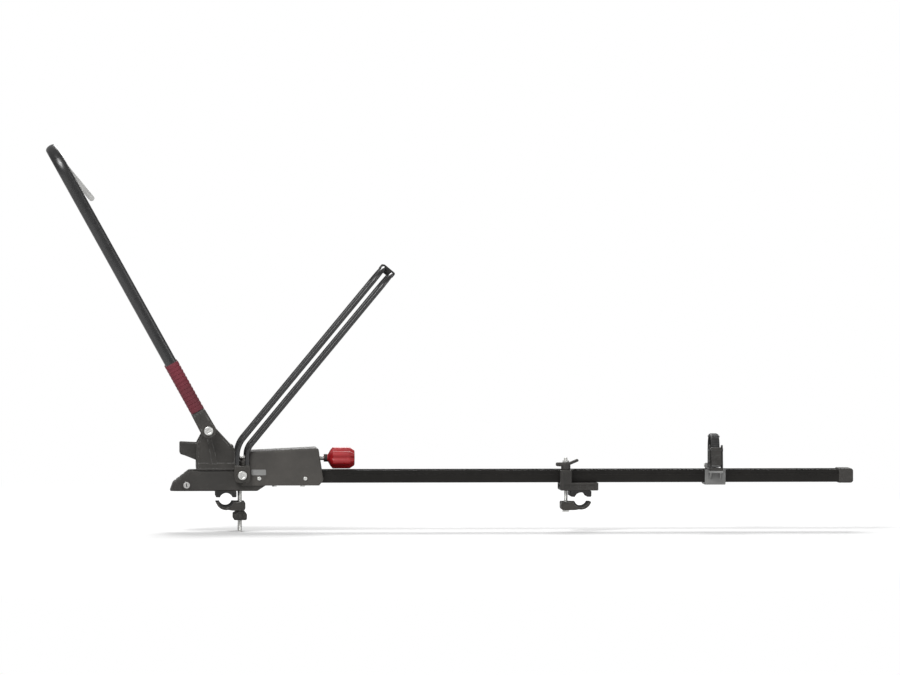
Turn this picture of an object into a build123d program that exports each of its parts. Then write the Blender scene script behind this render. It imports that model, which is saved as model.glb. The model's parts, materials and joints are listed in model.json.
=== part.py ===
from build123d import *
import os
from math import cos, pi, radians, sin, tan

os.makedirs("parts", exist_ok=True)

# A roof carrier that holds a bicycle by its wheels. X runs to the rear, Y across, Z up.
# The origin is on the axis of the front crossbar, on the carrier's middle plane. Millimetres.

# Fits and gaps shared by all pieces
run_gap = 0.05
slide_gap = 0.3
seat_gap = 0.2
overrun = 5

# Crossbars of the car that the carrier is clamped round
bar_radius = 14.3
bar_spacing = 755

# Travels of the moving pieces
carriage_travel = 25
claw_travel = 20

# Bar pads and claws
pad_crown = 4
pad_half_length = 22
pad_skirt = 5
pad_inner_y = 24
pad_width = 28
liner_thick = 2.5
liner_lip = 5
claw_wall = 5.5
claw_width = 26
claw_y = 38
boss_reach = 11
boss_height = 18.5
stud_radius = 4
stud_offset = 30
stud_root = 24
hand_knob_radius = 16
hand_knob_height = 20
hand_knob_lobes = 6
hand_knob_lobe_radius = 5
hand_knob_edge = 2

# Tray profile
tray_width = 72
tray_height = 27
tray_wall = 2.2
tray_channel = 13
tray_start = 62
tray_end = 1310
slot_mouth = 9
slot_width = 18
slot_height = 7
foot_width = 8

# Tray end cap
cap_length = 31
cap_overhang = 2
cap_plug = 18
cap_round = 6
cap_overlap = 2

# Head base
deck_height = 62
base_half_width = 52
nose_tip = -118
nose_brow_x = -112
nose_brow_z = 36
nose_top_x = -78
base_play = 0.8
base_step_start = 66
base_step_end = 84
base_rear_bottom = 30
base_corner = 16
base_brow_round = 10
nose_pocket_start = -74
nose_pocket_end = -6
nose_pocket_half = 26
nose_pocket_roof = 50
nose_rib = 4
bulkhead_inset = 20
bulkhead_thick = 10
bulkhead_half_width = 44
bulkhead_margin = 16
tray_bolt_front = 104
tray_bolt_inset = 34
tray_bolt_radius = 3
bolt_head_radius = 5
bolt_head_height = 4
tray_nut_length = 20

# Wheel that the front cradle is shaped for
wheel_radius = 370
wheel_x = -53
tyre_half_width = 36
cradle_low = 108

# Wheel cradle
cradle_half_width = 42
cradle_front = -98
cradle_rear = 16
cradle_floor = 84
cradle_rim = 122
cradle_rear_rim = 116
cradle_chin_x = -88
cradle_chin_z = 94
cradle_edge = 3
cradle_pad_thick = 3
cradle_pad_inset = 8
cradle_pad_height = 9
cradle_pad_grooves = 5
cradle_groove_width = 3
cradle_groove_depth = 1.4
pedestal_front = -42
pedestal_rear = -12
pedestal_half_width = 28
cradle_bolt_y = 14
cradle_bolt_grip = 24

# Carriage that carries the front hoop
carriage_front = -63
carriage_rear = 22
carriage_deck = 16
tower_inner = 44
tower_thick = 10
tower_shoulder_z = 104
tower_waist_z = 118
tower_head_radius = 15
tongue_end = 66
tongue_half_width = 20
tongue_thick = 9.7
lug_length = 16
lug_half_width = 14
lug_cover = 12
keel_y = 40
keel_start = -50
keel_end = 20
keel_stem_half = 1.8
keel_flange_half = 5
keel_flange_top = 54
keel_flange_bottom = 49

# Tightening screw, its nut, bush, collars and knob
screw_z = 87
screw_start = 19
screw_radius = 5
screw_in_knob = 34
nut_radius = 10
nut_flange = 12
nut_flange_thick = 3
bush_radius = 8
collar_radius = 9.5
collar_thick = 4
neck_radius = 8
neck_gap = 2
neck_length = 9
knob_flare = 5
knob_body = 46
knob_nose = 10.5
knob_radius = 23
knob_root_radius = 17
knob_nose_radius = 16
knob_lobes = 7
knob_flute_radius = 6
knob_plug_radius = 10
knob_plug_depth = 3
hub_radius = 9

# Head cover
cover_front = 31
cover_front_top = 52
cover_half_width = 55
cover_wall = 2.7
cover_front_z = 80
cover_brow_z = 103
cover_top_z = 110
cover_top_inset = 2
cover_tail = 9
cover_rear_low_z = 42
cover_heel = 198
cover_edge = 6
cover_long_edge = 5
cover_mouth_half = 40
cover_screw_ahead = 39
cover_screw_inset = 30
cover_screw_z = 45
cover_screw_radius = 2
cover_screw_head = 4.5
cover_screw_length = 16
cover_screw_thick = 2

# Front hoop
hoop_pivot_x = -38
hoop_pivot_z = 147.5
hoop_lean = 61
hoop_reach = 692
hoop_leg_y = 79
tube_depth = 26
tube_width = 16
tube_wall = 2
hoop_bend = 62
tube_start = 24
foot_inner = 68
foot_thick = 22
foot_depth = 33
foot_length = 46
foot_edge = 3
front_pin_radius = 6
front_pin_root = 8
spacer_radius = 10
pin_head_radius = 9.5
pin_head_thick = 5
pin_hex = 5
pin_hex_depth = 3
sleeve_start = 47
sleeve_end = 162
sleeve_wall = 2.2
hoop_pad_half = 36
hoop_pad_deep = 26
hoop_pad_depth = 24
hoop_pad_shoulder = 21
hoop_pad_flat = 26
hoop_pad_valley = 10
hoop_pad_valley_deep = 17
hoop_pad_edge = 2
guide_thick = 5
guide_width = 12
guide_drop = 30
guide_length = 117
guide_top_out = 2
guide_tip_out = 24

# Rear hoop
rear_pivot_x = 34
rear_pivot_z = 52
rod_radius = 5
rod_apart = 21
rod_leg_y = 62
rod_start = 60
rod_bend_z = 110.5
rod_bend_radius = 50
rod_slope = 50.4
rod_tip_x = 345
rod_tip_z = 484
rod_corner = 40
rear_foot_inner = 56
rear_foot_outer = 68
rear_foot_half = 17.5
rear_foot_bottom = 36
rear_foot_top = 72
rear_foot_edge = 4
rear_pin_radius = 6
rear_pin_root = 14
rear_pad_half = 30
rear_pad_depth = 34
rear_pad_thick = 15
rear_pad_edge = 3

# Lock in the nose
lock_x = -84
lock_z = 31
lock_radius = 7
lock_sleeve_wall = 3
lock_depth = 20
lock_proud = 1.5
key_slot_width = 2
key_slot_height = 8
key_slot_depth = 2.5

# Rear clamp
rear_stud_offset = 32
rear_claw_y = -48
rear_claw_inner_y = -12
rear_wing_y = -61
block_ahead = 44
block_behind = 37
block_edge = 3
post_behind_stud = 13
rear_bolt_top = 88
rear_bolt_head = 4
rear_bolt_head_radius = 7
slot_nut_length = 40
slot_nut_neck = 1.6
slot_gap = 0.4
lock_bolt_behind = 17
lever_hub_radius = 10
lever_hub_height = 15
lever_ahead = 21
lever_behind = 27
lever_low = 70
lever_high = 87
lever_thick = 6
lever_root_thick = 8
lever_half_width = 9
lever_hub_clear = 0.3

# Strap for the rear wheel
strap_x = 1043
saddle_length = 44
saddle_wall = 5
saddle_gap = 0.4
anchor_y = 46
anchor_z = 69
anchor_ear = 9
anchor_ear_thick = 5
anchor_pin_radius = 3
anchor_pin_head = 5
anchor_pin_head_thick = 2
strap_width = 18
strap_thick = 3.5
strap_top = 137
strap_bend = 34
strap_tail_z = 76
strap_eye_radius = 6.5
strap_rungs = 11
strap_rung_width = 3
strap_rung_depth = 1
rim_pad_half = 20
rim_pad_thick = 4
rim_pad_width = 22
buckle_width = 30
buckle_cheek = 3.5
buckle_foot_z = 66
buckle_top_z = 116
buckle_outer_y = -66
buckle_web = 6
buckle_edge = 2
pivot_z = 104
pivot_y = -57
pivot_radius = 2.5
lever_gap = 0.5
buckle_lever_bottom = 72
buckle_lever_thick = 5
buckle_lever_out = 67
pawl_reach = 6
pawl_z = 90
tab_z = 81
tab_y = -56
tab_radius = 2
tab_length = 13
tab_thick = 3

# Heights and places that follow from the sizes above
pad_top = bar_radius + pad_crown
tray_bottom = deck_height - tray_height
tray_half = tray_width / 2
tower_outer = tower_inner + tower_thick
crosspiece_bottom = deck_height + slide_gap
crosspiece_top = deck_height + carriage_deck
wheel_z = cradle_low + wheel_radius
claw_bottom = -(liner_lip + boss_height)
base_end = cover_heel - cover_wall - base_play
bulkhead_start = cover_heel - bulkhead_inset
tray_bolt_places = (tray_bolt_front, cover_heel - tray_bolt_inset)
cover_rear_top = cover_heel - cover_top_inset
cover_rear = cover_heel + cover_tail
cover_screw_places = (cover_front + cover_screw_ahead, cover_heel - cover_screw_inset)
neck_start = cover_rear + neck_gap
knob_start = neck_start + neck_length
knob_body_end = knob_start + knob_body
knob_end = knob_body_end + knob_nose
buckle_inner_y = -(tray_half + saddle_gap + saddle_wall)
foot_outer = foot_inner + foot_thick
guide_top = hoop_reach - guide_drop
guide_tip = guide_top - guide_length
rear_stud_x = bar_spacing - rear_stud_offset
block_front = bar_spacing - block_ahead
block_rear = bar_spacing + block_behind
tower_post_rear = rear_stud_x + post_behind_stud
rear_lock_bolt_x = bar_spacing + lock_bolt_behind
lever_front = rear_stud_x - lever_ahead
lever_rear = rear_stud_x + lever_behind


def block(x0, x1, y0, y1, z0, z1):
    """A box between two opposite corners."""
    return Pos((x0 + x1) / 2, (y0 + y1) / 2, (z0 + z1) / 2) * Box(x1 - x0, y1 - y0, z1 - z0)


def rod_x(x0, x1, y, z, radius):
    """A cylinder along X."""
    return Pos((x0 + x1) / 2, y, z) * Rot(0, 90, 0) * Cylinder(radius, x1 - x0)


def rod_y(x, y0, y1, z, radius):
    """A cylinder along Y."""
    return Pos(x, (y0 + y1) / 2, z) * Rot(90, 0, 0) * Cylinder(radius, y1 - y0)


def rod_z(x, y, z0, z1, radius):
    """A cylinder along Z."""
    return Pos(x, y, (z0 + z1) / 2) * Cylinder(radius, z1 - z0)


def outline(points, radii=None):
    """A closed face through the points, with corners rounded where a radius is given."""
    face = make_face(Polyline(*points, close=True))
    for point, radius in zip(points, radii or []):
        if radius > 0:
            corner = min(face.vertices(), key=lambda v: (v.center() - Vector(*point)).length)
            face = fillet(corner, radius)
    return face


def slab_y(points, y0, y1, radii=None):
    """An outline in X and Z, thick from y0 to y1."""
    return Pos(0, y1, 0) * extrude(Plane.XZ * outline(points, radii), y1 - y0)


def slab_x(points, x0, x1, radii=None):
    """An outline in Y and Z, long from x0 to x1."""
    return Pos(x0, 0, 0) * extrude(Plane.YZ * outline(points, radii), x1 - x0)


def slab_z(points, z0, z1, radii=None):
    """An outline in X and Y, high from z0 to z1."""
    return Pos(0, 0, z0) * extrude(Plane.XY * outline(points, radii), z1 - z0)


def both_sides(piece):
    """The piece and its twin on the other side of the middle plane."""
    return [piece, mirror(piece, Plane.XZ)]


def save(name, pieces):
    """Write one node, which is one solid or a group of like solids."""
    group = pieces if isinstance(pieces, list) else [pieces]
    solids = [solid for piece in group for solid in piece.solids()]
    shape = solids[0] if len(solids) == 1 else Compound(children=solids)
    export_step(shape, "parts/" + name + ".step")


def edges_along(shape, axis):
    """Straight edges of the shape that run along the axis."""
    return shape.edges().filter_by(axis)


# Tray: an open channel above, a slot for nuts below, side walls with inward feet
def make_tray():
    lip = tray_bottom + tray_wall
    web = lip + slot_height
    floor = deck_height - tray_channel - tray_wall
    inner = tray_half - tray_wall
    slot_half = slot_width / 2
    body = block(tray_start, tray_end, -tray_half, tray_half, tray_bottom, deck_height)
    body -= block(tray_start - overrun, tray_end + overrun, -inner, inner,
                  deck_height - tray_channel, deck_height + overrun)
    body -= block(tray_start - overrun, tray_end + overrun, -slot_half, slot_half, lip, web)
    body -= block(tray_start - overrun, tray_end + overrun, -slot_mouth / 2, slot_mouth / 2,
                  tray_bottom - overrun, lip)
    side_start = slot_half + tray_wall
    for side in (-1, 1):
        low, high = sorted((side * side_start, side * inner))
        body -= block(tray_start - overrun, tray_end + overrun, low, high, lip, floor)
        low, high = sorted((side * side_start, side * (inner - foot_width)))
        body -= block(tray_start - overrun, tray_end + overrun, low, high,
                      tray_bottom - overrun, lip)
    for place in tray_bolt_places:
        body -= rod_z(place, 0, web - overrun, deck_height, tray_bolt_radius + slide_gap)
    return body


def make_end_cap():
    half = tray_half + cap_overhang
    low = tray_bottom - cap_overhang
    high = deck_height + cap_overhang
    start = tray_end - cap_overlap
    body = block(start, start + cap_length, -half, half, low, high)
    body = fillet(body.edges().group_by(Axis.X)[-1], cap_round)
    pocket = block(start - overrun, tray_end, -tray_half, tray_half, tray_bottom, deck_height)
    body -= pocket
    inner = tray_half - tray_wall - seat_gap
    plug_floor = deck_height - tray_channel + seat_gap
    plug_top = deck_height - tray_wall
    body += block(tray_end - cap_plug, tray_end, -inner, inner, plug_floor, plug_top)
    return body


# Head base: a block with a sloping nose that holds the tray, the pins and the screw
def make_base():
    profile = [(nose_tip, pad_top), (nose_brow_x, nose_brow_z), (nose_top_x, deck_height),
               (base_end, deck_height), (base_end, base_rear_bottom),
               (base_step_end, base_rear_bottom), (base_step_start, pad_top)]
    body = slab_y(profile, -base_half_width, base_half_width, [0, base_brow_round])
    plan = [(nose_tip, -base_half_width), (nose_tip, base_half_width),
            (base_end, base_half_width), (base_end, -base_half_width)]
    body &= slab_z(plan, pad_top, deck_height, [base_corner, base_corner])
    # Tray pocket, open above and to the rear
    body -= block(tray_start - seat_gap, base_end + overrun, -tray_half - seat_gap,
                  tray_half + seat_gap, tray_bottom, deck_height + overrun)
    # Bulkhead that carries the screw's bush, standing on both side walls
    bulk_top = screw_z + bulkhead_margin
    body += block(bulkhead_start, bulkhead_start + bulkhead_thick, -bulkhead_half_width,
                  bulkhead_half_width, deck_height, bulk_top)
    body -= rod_x(bulkhead_start - overrun, bulkhead_start + bulkhead_thick + overrun, 0,
                  screw_z, bush_radius)
    # Hollow under the nose, with a rib down its middle
    for side in (-1, 1):
        low, high = sorted((side * nose_rib / 2, side * nose_pocket_half))
        body -= block(nose_pocket_start, nose_pocket_end, low, high, pad_top - overrun,
                      nose_pocket_roof)
        body -= rod_z(cradle_bolt_x, side * cradle_bolt_y, pad_top, deck_height + overrun,
                      tray_bolt_radius)
    # Keyed slots that the carriage's keels run in
    for side in (-1, 1):
        centre = side * keel_y
        start = keel_start - carriage_travel - slide_gap
        stop = keel_end + slide_gap
        stem = keel_stem_half + slide_gap
        flange = keel_flange_half + slide_gap
        body -= block(start, stop, centre - stem, centre + stem,
                      keel_flange_bottom, deck_height + overrun)
        body -= block(start, stop, centre - flange, centre + flange,
                      keel_flange_bottom - slide_gap, keel_flange_top + slide_gap)
    # Holes for the rear hoop's pins, the clamp studs, the tray bolts, the cover screws and the lock
    pin_root = base_half_width - rear_pin_root
    for side in (-1, 1):
        low, high = sorted((side * pin_root, side * (base_half_width + overrun)))
        body -= rod_y(rear_pivot_x, low, high, rear_pivot_z, rear_pin_radius)
        body -= rod_z(stud_offset, side * claw_y, pad_top - overrun, pad_top + stud_root,
                      stud_radius)
        for place in cover_screw_places:
            low, high = sorted((side * (base_half_width - cover_screw_length + cover_wall),
                                side * (base_half_width + overrun)))
            body -= rod_y(place, low, high, cover_screw_z, cover_screw_radius)
    for place in tray_bolt_places:
        body -= rod_z(place, 0, base_rear_bottom - overrun, deck_height, tray_bolt_radius)
    body -= rod_y(lock_x, -base_half_width - overrun, -base_half_width + lock_depth, lock_z,
                  lock_radius + lock_sleeve_wall)
    return body


def tyre_ring(minor):
    """The ring that a tyre fills, with a round section of the given radius."""
    section = Plane.YZ * Pos(0, tyre_half_width - wheel_radius) * Circle(minor)
    ring = revolve(section, Axis((0, 0, 0), (0, 1, 0)), 360)
    return Pos(wheel_x, 0, wheel_z) * ring


cradle_bolt_x = (pedestal_front + pedestal_rear) / 2
pad_ring = tyre_half_width + seat_gap
seat_ring = pad_ring + cradle_pad_thick


def make_cradle():
    profile = [(cradle_chin_x, cradle_chin_z), (carriage_front, cradle_floor),
               (cradle_rear, cradle_floor), (cradle_rear, cradle_rear_rim),
               (cradle_front, cradle_rim), (cradle_front, cradle_chin_z + cradle_edge)]
    body = slab_y(profile, -cradle_half_width, cradle_half_width)
    long_edges = edges_along(body, Axis.Y)
    body = fillet(long_edges, cradle_edge)
    body -= tyre_ring(seat_ring + seat_gap)
    body += block(pedestal_front, pedestal_rear, -pedestal_half_width, pedestal_half_width,
                  deck_height, cradle_floor)
    for side in (-1, 1):
        body -= rod_z(cradle_bolt_x, side * cradle_bolt_y, deck_height - overrun,
                      nose_pocket_roof + cradle_bolt_grip, tray_bolt_radius)
    return body


def make_cradle_pad():
    liner = tyre_ring(seat_ring) - tyre_ring(pad_ring)
    low = wheel_z - wheel_radius - cradle_pad_thick - overrun
    start = cradle_front + cradle_pad_inset
    stop = cradle_rear - cradle_pad_inset
    liner &= block(start, stop, -cradle_half_width, cradle_half_width, low,
                   cradle_low + cradle_pad_height)
    step = (stop - start) / (cradle_pad_grooves + 1)
    for place in range(cradle_pad_grooves):
        centre = start + step * (place + 1)
        groove = tyre_ring(pad_ring + cradle_groove_depth) - tyre_ring(pad_ring - cradle_groove_depth)
        liner -= groove & block(centre - cradle_groove_width / 2, centre + cradle_groove_width / 2,
                                -cradle_half_width, cradle_half_width, low,
                                cradle_low + cradle_pad_height + overrun)
    return liner


def bolt(x, y, head_z, tip_z, radius):
    """A socket bolt that points up, with its head below head_z."""
    body = rod_z(x, y, head_z, tip_z, radius)
    body += rod_z(x, y, head_z - bolt_head_height, head_z, bolt_head_radius)
    return body - rod_z(x, y, head_z - bolt_head_height - overrun,
                        head_z - bolt_head_height / 2, bolt_head_radius / 2)


def make_cradle_bolts():
    tip = nose_pocket_roof + cradle_bolt_grip
    return [bolt(cradle_bolt_x, side * cradle_bolt_y, nose_pocket_roof, tip, tray_bolt_radius)
            for side in (-1, 1)]


def make_tray_bolts():
    tip = tray_bottom + tray_wall + slot_height
    return [bolt(place, 0, base_rear_bottom, tip, tray_bolt_radius) for place in tray_bolt_places]


def slot_nut(centre, length):
    """A plate in the tray's slot with a neck down its mouth and a threaded hole."""
    half = slot_width / 2 - slot_gap
    mouth = slot_mouth / 2 - slot_gap
    low = tray_bottom + tray_wall
    body = block(centre - length / 2, centre + length / 2, -half, half, low,
                 low + slot_height - slot_gap)
    return body + block(centre - length / 2, centre + length / 2, -mouth, mouth,
                        low - slot_nut_neck, low)


def make_tray_nuts():
    nuts = []
    for place in tray_bolt_places:
        nut = slot_nut(place, tray_nut_length)
        nuts.append(nut - rod_z(place, 0, tray_bottom - overrun, deck_height, tray_bolt_radius))
    return nuts


# Carriage: a frame round the cradle's pedestal, two towers, a tongue with the nut's lug, two keels
def make_carriage():
    body = block(carriage_front, carriage_rear, -tower_outer, tower_outer, crosspiece_bottom,
                 crosspiece_top)
    window_rear = pedestal_rear + carriage_travel + slide_gap
    body -= block(pedestal_front - slide_gap, window_rear, -pedestal_half_width - slide_gap,
                  pedestal_half_width + slide_gap, deck_height - overrun, crosspiece_top + overrun)
    head_rise = tower_head_radius * sin(radians(hoop_lean))
    head_run = tower_head_radius * cos(radians(hoop_lean))
    profile = [(carriage_front, crosspiece_bottom), (carriage_rear, crosspiece_bottom),
               (carriage_rear, tower_shoulder_z),
               (hoop_pivot_x + head_rise, hoop_pivot_z + head_run),
               (hoop_pivot_x - head_rise, hoop_pivot_z - head_run),
               (carriage_front, tower_waist_z)]
    for side in (-1, 1):
        low, high = sorted((side * tower_inner, side * tower_outer))
        tower = slab_y(profile, low, high)
        tower += rod_y(hoop_pivot_x, low, high, hoop_pivot_z, tower_head_radius)
        body += tower
        body -= rod_y(hoop_pivot_x, low - overrun, high + overrun, hoop_pivot_z, front_pin_radius)
        centre = side * keel_y
        body += block(keel_start, keel_end, centre - keel_stem_half, centre + keel_stem_half,
                      keel_flange_top, crosspiece_bottom)
        body += block(keel_start, keel_end, centre - keel_flange_half,
                      centre + keel_flange_half, keel_flange_bottom, keel_flange_top)
    body += block(window_rear, tongue_end, -tongue_half_width, tongue_half_width,
                  crosspiece_bottom, crosspiece_bottom + tongue_thick)
    lug_start = tongue_end - lug_length
    body += block(lug_start, tongue_end, -lug_half_width, lug_half_width, crosspiece_bottom,
                  screw_z + lug_cover)
    body -= rod_x(lug_start - overrun, tongue_end + overrun, 0, screw_z, nut_radius)
    return body


def make_carriage_nut():
    lug_start = tongue_end - lug_length
    body = rod_x(lug_start, tongue_end + nut_flange_thick, 0, screw_z, nut_radius)
    body += rod_x(tongue_end, tongue_end + nut_flange_thick, 0, screw_z, nut_flange)
    return body - rod_x(lug_start - overrun, tongue_end + overrun, 0, screw_z,
                        screw_radius + run_gap)


# Tightening screw and knob
def make_screw():
    return rod_x(screw_start, knob_start + screw_in_knob, 0, screw_z, screw_radius)


def make_bush():
    body = rod_x(bulkhead_start, bulkhead_start + bulkhead_thick, 0, screw_z, bush_radius)
    return body - rod_x(bulkhead_start - overrun, bulkhead_start + bulkhead_thick + overrun, 0,
                        screw_z, screw_radius + run_gap)


def make_collars():
    collars = []
    rear_face = bulkhead_start + bulkhead_thick + slide_gap
    for start in (bulkhead_start - slide_gap - collar_thick, rear_face):
        ring = rod_x(start, start + collar_thick, 0, screw_z, collar_radius)
        collars.append(ring - rod_x(start - overrun, start + collar_thick + overrun, 0, screw_z,
                                    screw_radius))
    return collars


def make_knob():
    """A turned shape with flutes round it, bored for the hub and the end plug."""
    profile = [(neck_start, 0), (neck_start, neck_radius), (knob_start, neck_radius),
               (knob_start + knob_flare, knob_root_radius),
               (knob_start + knob_flare + knob_flare, knob_radius),
               (knob_body_end, knob_radius), (knob_end, knob_nose_radius), (knob_end, 0)]
    turned = revolve(Plane.XZ * outline(profile), Axis.X, 360)
    turned = Pos(0, 0, screw_z) * turned
    for lobe in range(knob_lobes):
        angle = 360 * lobe / knob_lobes
        flute = rod_x(knob_start + knob_flare, knob_end + overrun, 0,
                      knob_radius + knob_flute_radius / 2, knob_flute_radius)
        turned -= Pos(0, 0, screw_z) * (Rot(angle, 0, 0) * flute)
    turned -= rod_x(neck_start - overrun, knob_start + screw_in_knob, 0, screw_z, screw_radius)
    turned -= rod_x(knob_start + knob_flare, knob_start + screw_in_knob, 0, screw_z, hub_radius)
    turned -= rod_x(knob_end - knob_plug_depth, knob_end + overrun, 0, screw_z, knob_plug_radius)
    return turned


def make_knob_hub():
    start = knob_start + knob_flare
    body = rod_x(start, knob_start + screw_in_knob, 0, screw_z, hub_radius)
    return body - rod_x(start - overrun, knob_start + screw_in_knob + overrun, 0, screw_z,
                        screw_radius)


def make_knob_plug():
    return rod_x(knob_end - knob_plug_depth, knob_end, 0, screw_z, knob_plug_radius)


# Head cover: a shell over the rear of the base, open below and towards the carriage
def cover_profile(inset):
    """The cover's side outline, drawn in by the inset at the top and the rear."""
    return [(cover_front, base_rear_bottom), (cover_front, cover_front_z - inset),
            (cover_front_top, cover_brow_z - inset), (cover_rear_top - inset, cover_top_z - inset),
            (cover_rear - inset, cover_rear_low_z), (cover_heel - inset, base_rear_bottom)]


def make_cover():
    radii = [0, cover_edge, cover_edge, cover_edge, cover_edge, 0]
    body = slab_y(cover_profile(0), -cover_half_width, cover_half_width, radii)
    top = max(body.faces(), key=lambda face: face.area * max(face.normal_at().Z, 0))
    long_edges = top.edges().sort_by(Axis.Y)
    body = fillet([long_edges[0], long_edges[-1]], cover_long_edge)
    inner_profile = cover_profile(cover_wall)
    inner_profile[0] = (cover_front - overrun, base_rear_bottom - overrun)
    inner_profile[1] = (cover_front - overrun, cover_front_z - cover_wall)
    inner_profile[5] = (cover_heel - cover_wall, base_rear_bottom - overrun)
    inner = slab_y(inner_profile, -base_half_width - slide_gap, base_half_width + slide_gap)
    body -= inner
    # Front wall with a mouth for the tongue, in front of nothing lower than the deck
    body -= block(cover_front - overrun, cover_front_top, -cover_mouth_half, cover_mouth_half,
                  base_rear_bottom, cover_top_z)
    for side in (-1, 1):
        low, high = sorted((side * base_half_width, side * (cover_half_width + overrun)))
        body -= rod_y(rear_pivot_x, low, high, rear_pivot_z, rear_pin_radius + slide_gap)
        body -= block(cover_front - overrun, rear_pivot_x, low, high,
                      rear_pivot_z - rear_pin_radius - slide_gap,
                      rear_pivot_z + rear_pin_radius + slide_gap)
        for place in cover_screw_places:
            body -= rod_y(place, low, high, cover_screw_z, cover_screw_radius)
    body -= rod_x(cover_heel - overrun, cover_rear + overrun, 0, screw_z, neck_radius + slide_gap)
    # Mouth in the rear wall that the tray leaves through
    body -= block(base_end, cover_rear + overrun, -tray_half - slide_gap, tray_half + slide_gap,
                  base_rear_bottom - overrun, deck_height + slide_gap)
    body -= rod_x(bulkhead_start + bulkhead_thick, cover_heel, 0, screw_z,
                  collar_radius + slide_gap)
    return body


def make_cover_screws():
    screws = []
    for place in cover_screw_places:
        low = base_half_width - cover_screw_length + cover_wall
        shank = rod_y(place, low, cover_half_width, cover_screw_z, cover_screw_radius)
        head = rod_y(place, cover_half_width, cover_half_width + cover_screw_thick,
                     cover_screw_z, cover_screw_head)
        screws += both_sides(shank + head)
    return screws


# Front hoop: one oval tube bent over the wheel, carried on two pins
hoop_plane = Plane(origin=(hoop_pivot_x, 0, hoop_pivot_z), x_dir=(0, 1, 0),
                   z_dir=(sin(radians(hoop_lean)), 0, cos(radians(hoop_lean))))
hoop_top = hoop_reach - tube_width / 2


def leg_prism(side, start, stop, half_width, half_depth):
    """A box along one leg of the hoop, in the hoop's own plane."""
    centre = side * hoop_leg_y
    return hoop_plane * block(centre - half_width, centre + half_width, start, stop,
                              -half_depth, half_depth)


def leg_oval(side, start, stop, grow):
    """An oval bar along one leg, larger than the tube by the given amount all round."""
    plane = Plane(origin=(side * hoop_leg_y, start, 0), x_dir=(1, 0, 0), z_dir=(0, 1, 0))
    section = plane * Ellipse(tube_width / 2 + grow, tube_depth / 2 + grow)
    return hoop_plane * extrude(section, stop - start)


def hoop_bar(grow):
    """The oval bar along the whole hoop, larger than the tube by the given amount all round."""
    corners = [(hoop_leg_y, tube_start, 0), (hoop_leg_y, hoop_top, 0), (-hoop_leg_y, hoop_top, 0),
               (-hoop_leg_y, tube_start, 0)]
    path = FilletPolyline(*corners, radius=hoop_bend)
    plane = Plane(origin=corners[0], x_dir=(1, 0, 0), z_dir=(0, 1, 0))
    section = plane * Ellipse(tube_width / 2 + grow, tube_depth / 2 + grow)
    return hoop_plane * sweep(section, path=path)


def make_hoop_tube():
    return hoop_bar(0) - hoop_bar(-tube_wall)


def make_hoop_feet():
    feet = []
    half_width = (foot_outer - foot_inner) / 2
    for side in (-1, 1):
        foot = leg_prism(side, 0, foot_length, half_width, foot_depth / 2)
        foot = fillet(foot.edges().sort_by(Axis.Z)[-4:], foot_edge)
        low, high = sorted((side * foot_inner, side * foot_outer))
        foot += rod_y(hoop_pivot_x, low, high, hoop_pivot_z, foot_depth / 2)
        foot -= leg_oval(side, tube_start, foot_length + overrun, run_gap)
        foot -= rod_y(hoop_pivot_x, low - overrun, high + overrun, hoop_pivot_z,
                      front_pin_radius + run_gap)
        feet.append(foot)
    return feet


def make_hoop_sleeves():
    return [leg_oval(side, sleeve_start, sleeve_end, sleeve_wall)
            - leg_oval(side, sleeve_start - overrun, sleeve_end + overrun, run_gap)
            for side in (-1, 1)]


def make_front_pins():
    low = tower_outer - front_pin_root
    head = foot_outer + slide_gap
    pin = rod_y(hoop_pivot_x, low, head, hoop_pivot_z, front_pin_radius)
    pin += rod_y(hoop_pivot_x, tower_outer, foot_inner - slide_gap, hoop_pivot_z, spacer_radius)
    pin += rod_y(hoop_pivot_x, head, head + pin_head_thick, hoop_pivot_z, pin_head_radius)
    hexagon = Plane.XZ * RegularPolygon(pin_hex, 6)
    socket = extrude(hexagon, pin_hex_depth + overrun)
    pin -= Pos(hoop_pivot_x, head + pin_head_thick + overrun, hoop_pivot_z) * socket
    return both_sides(pin)


def make_hoop_pad():
    """A block under the hoop's crown with a shallow valley for the tyre."""
    top = hoop_top - tube_width / 2 - seat_gap
    points = [(-hoop_pad_half, top), (hoop_pad_half, top),
              (hoop_pad_half, top - hoop_pad_shoulder), (hoop_pad_flat, top - hoop_pad_deep),
              (hoop_pad_valley, top - hoop_pad_valley_deep),
              (-hoop_pad_valley, top - hoop_pad_valley_deep),
              (-hoop_pad_flat, top - hoop_pad_deep), (-hoop_pad_half, top - hoop_pad_shoulder)]
    radii = [hoop_pad_edge] * len(points)
    body = slab_z(points, -hoop_pad_depth / 2, hoop_pad_depth / 2, radii)
    return hoop_plane * body - hoop_bar(seat_gap)


def make_tyre_guides():
    """A flat bar on each side of the pad that leans in towards the wheel."""
    half = guide_width / 2
    guides = []
    for side in (-1, 1):
        low, high = sorted((side * hoop_pad_half, side * (hoop_pad_half + guide_thick)))
        points = [(guide_top, guide_top_out - half), (guide_top, guide_top_out + half),
                  (guide_tip, guide_tip_out + half), (guide_tip, guide_tip_out - half)]
        radii = [half / 2, half / 2, half * 4 / 5, half * 4 / 5]
        guides.append(hoop_plane * slab_x(points, low, high, radii))
    return guides


# Rear hoop: two slim rods side by side, bent over the wheel, carried on two pins
turn = 90 - rod_slope
along_slope = Vector(cos(radians(rod_slope)), 0, sin(radians(rod_slope)))
across_slope = Vector(sin(radians(rod_slope)), 0, -cos(radians(rod_slope)))
rod_bend = Vector(rear_pivot_x, 0, rod_bend_z)
slope_length = Vector(rod_tip_x - rear_pivot_x, 0, rod_tip_z - rod_bend_z).dot(along_slope)


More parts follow.
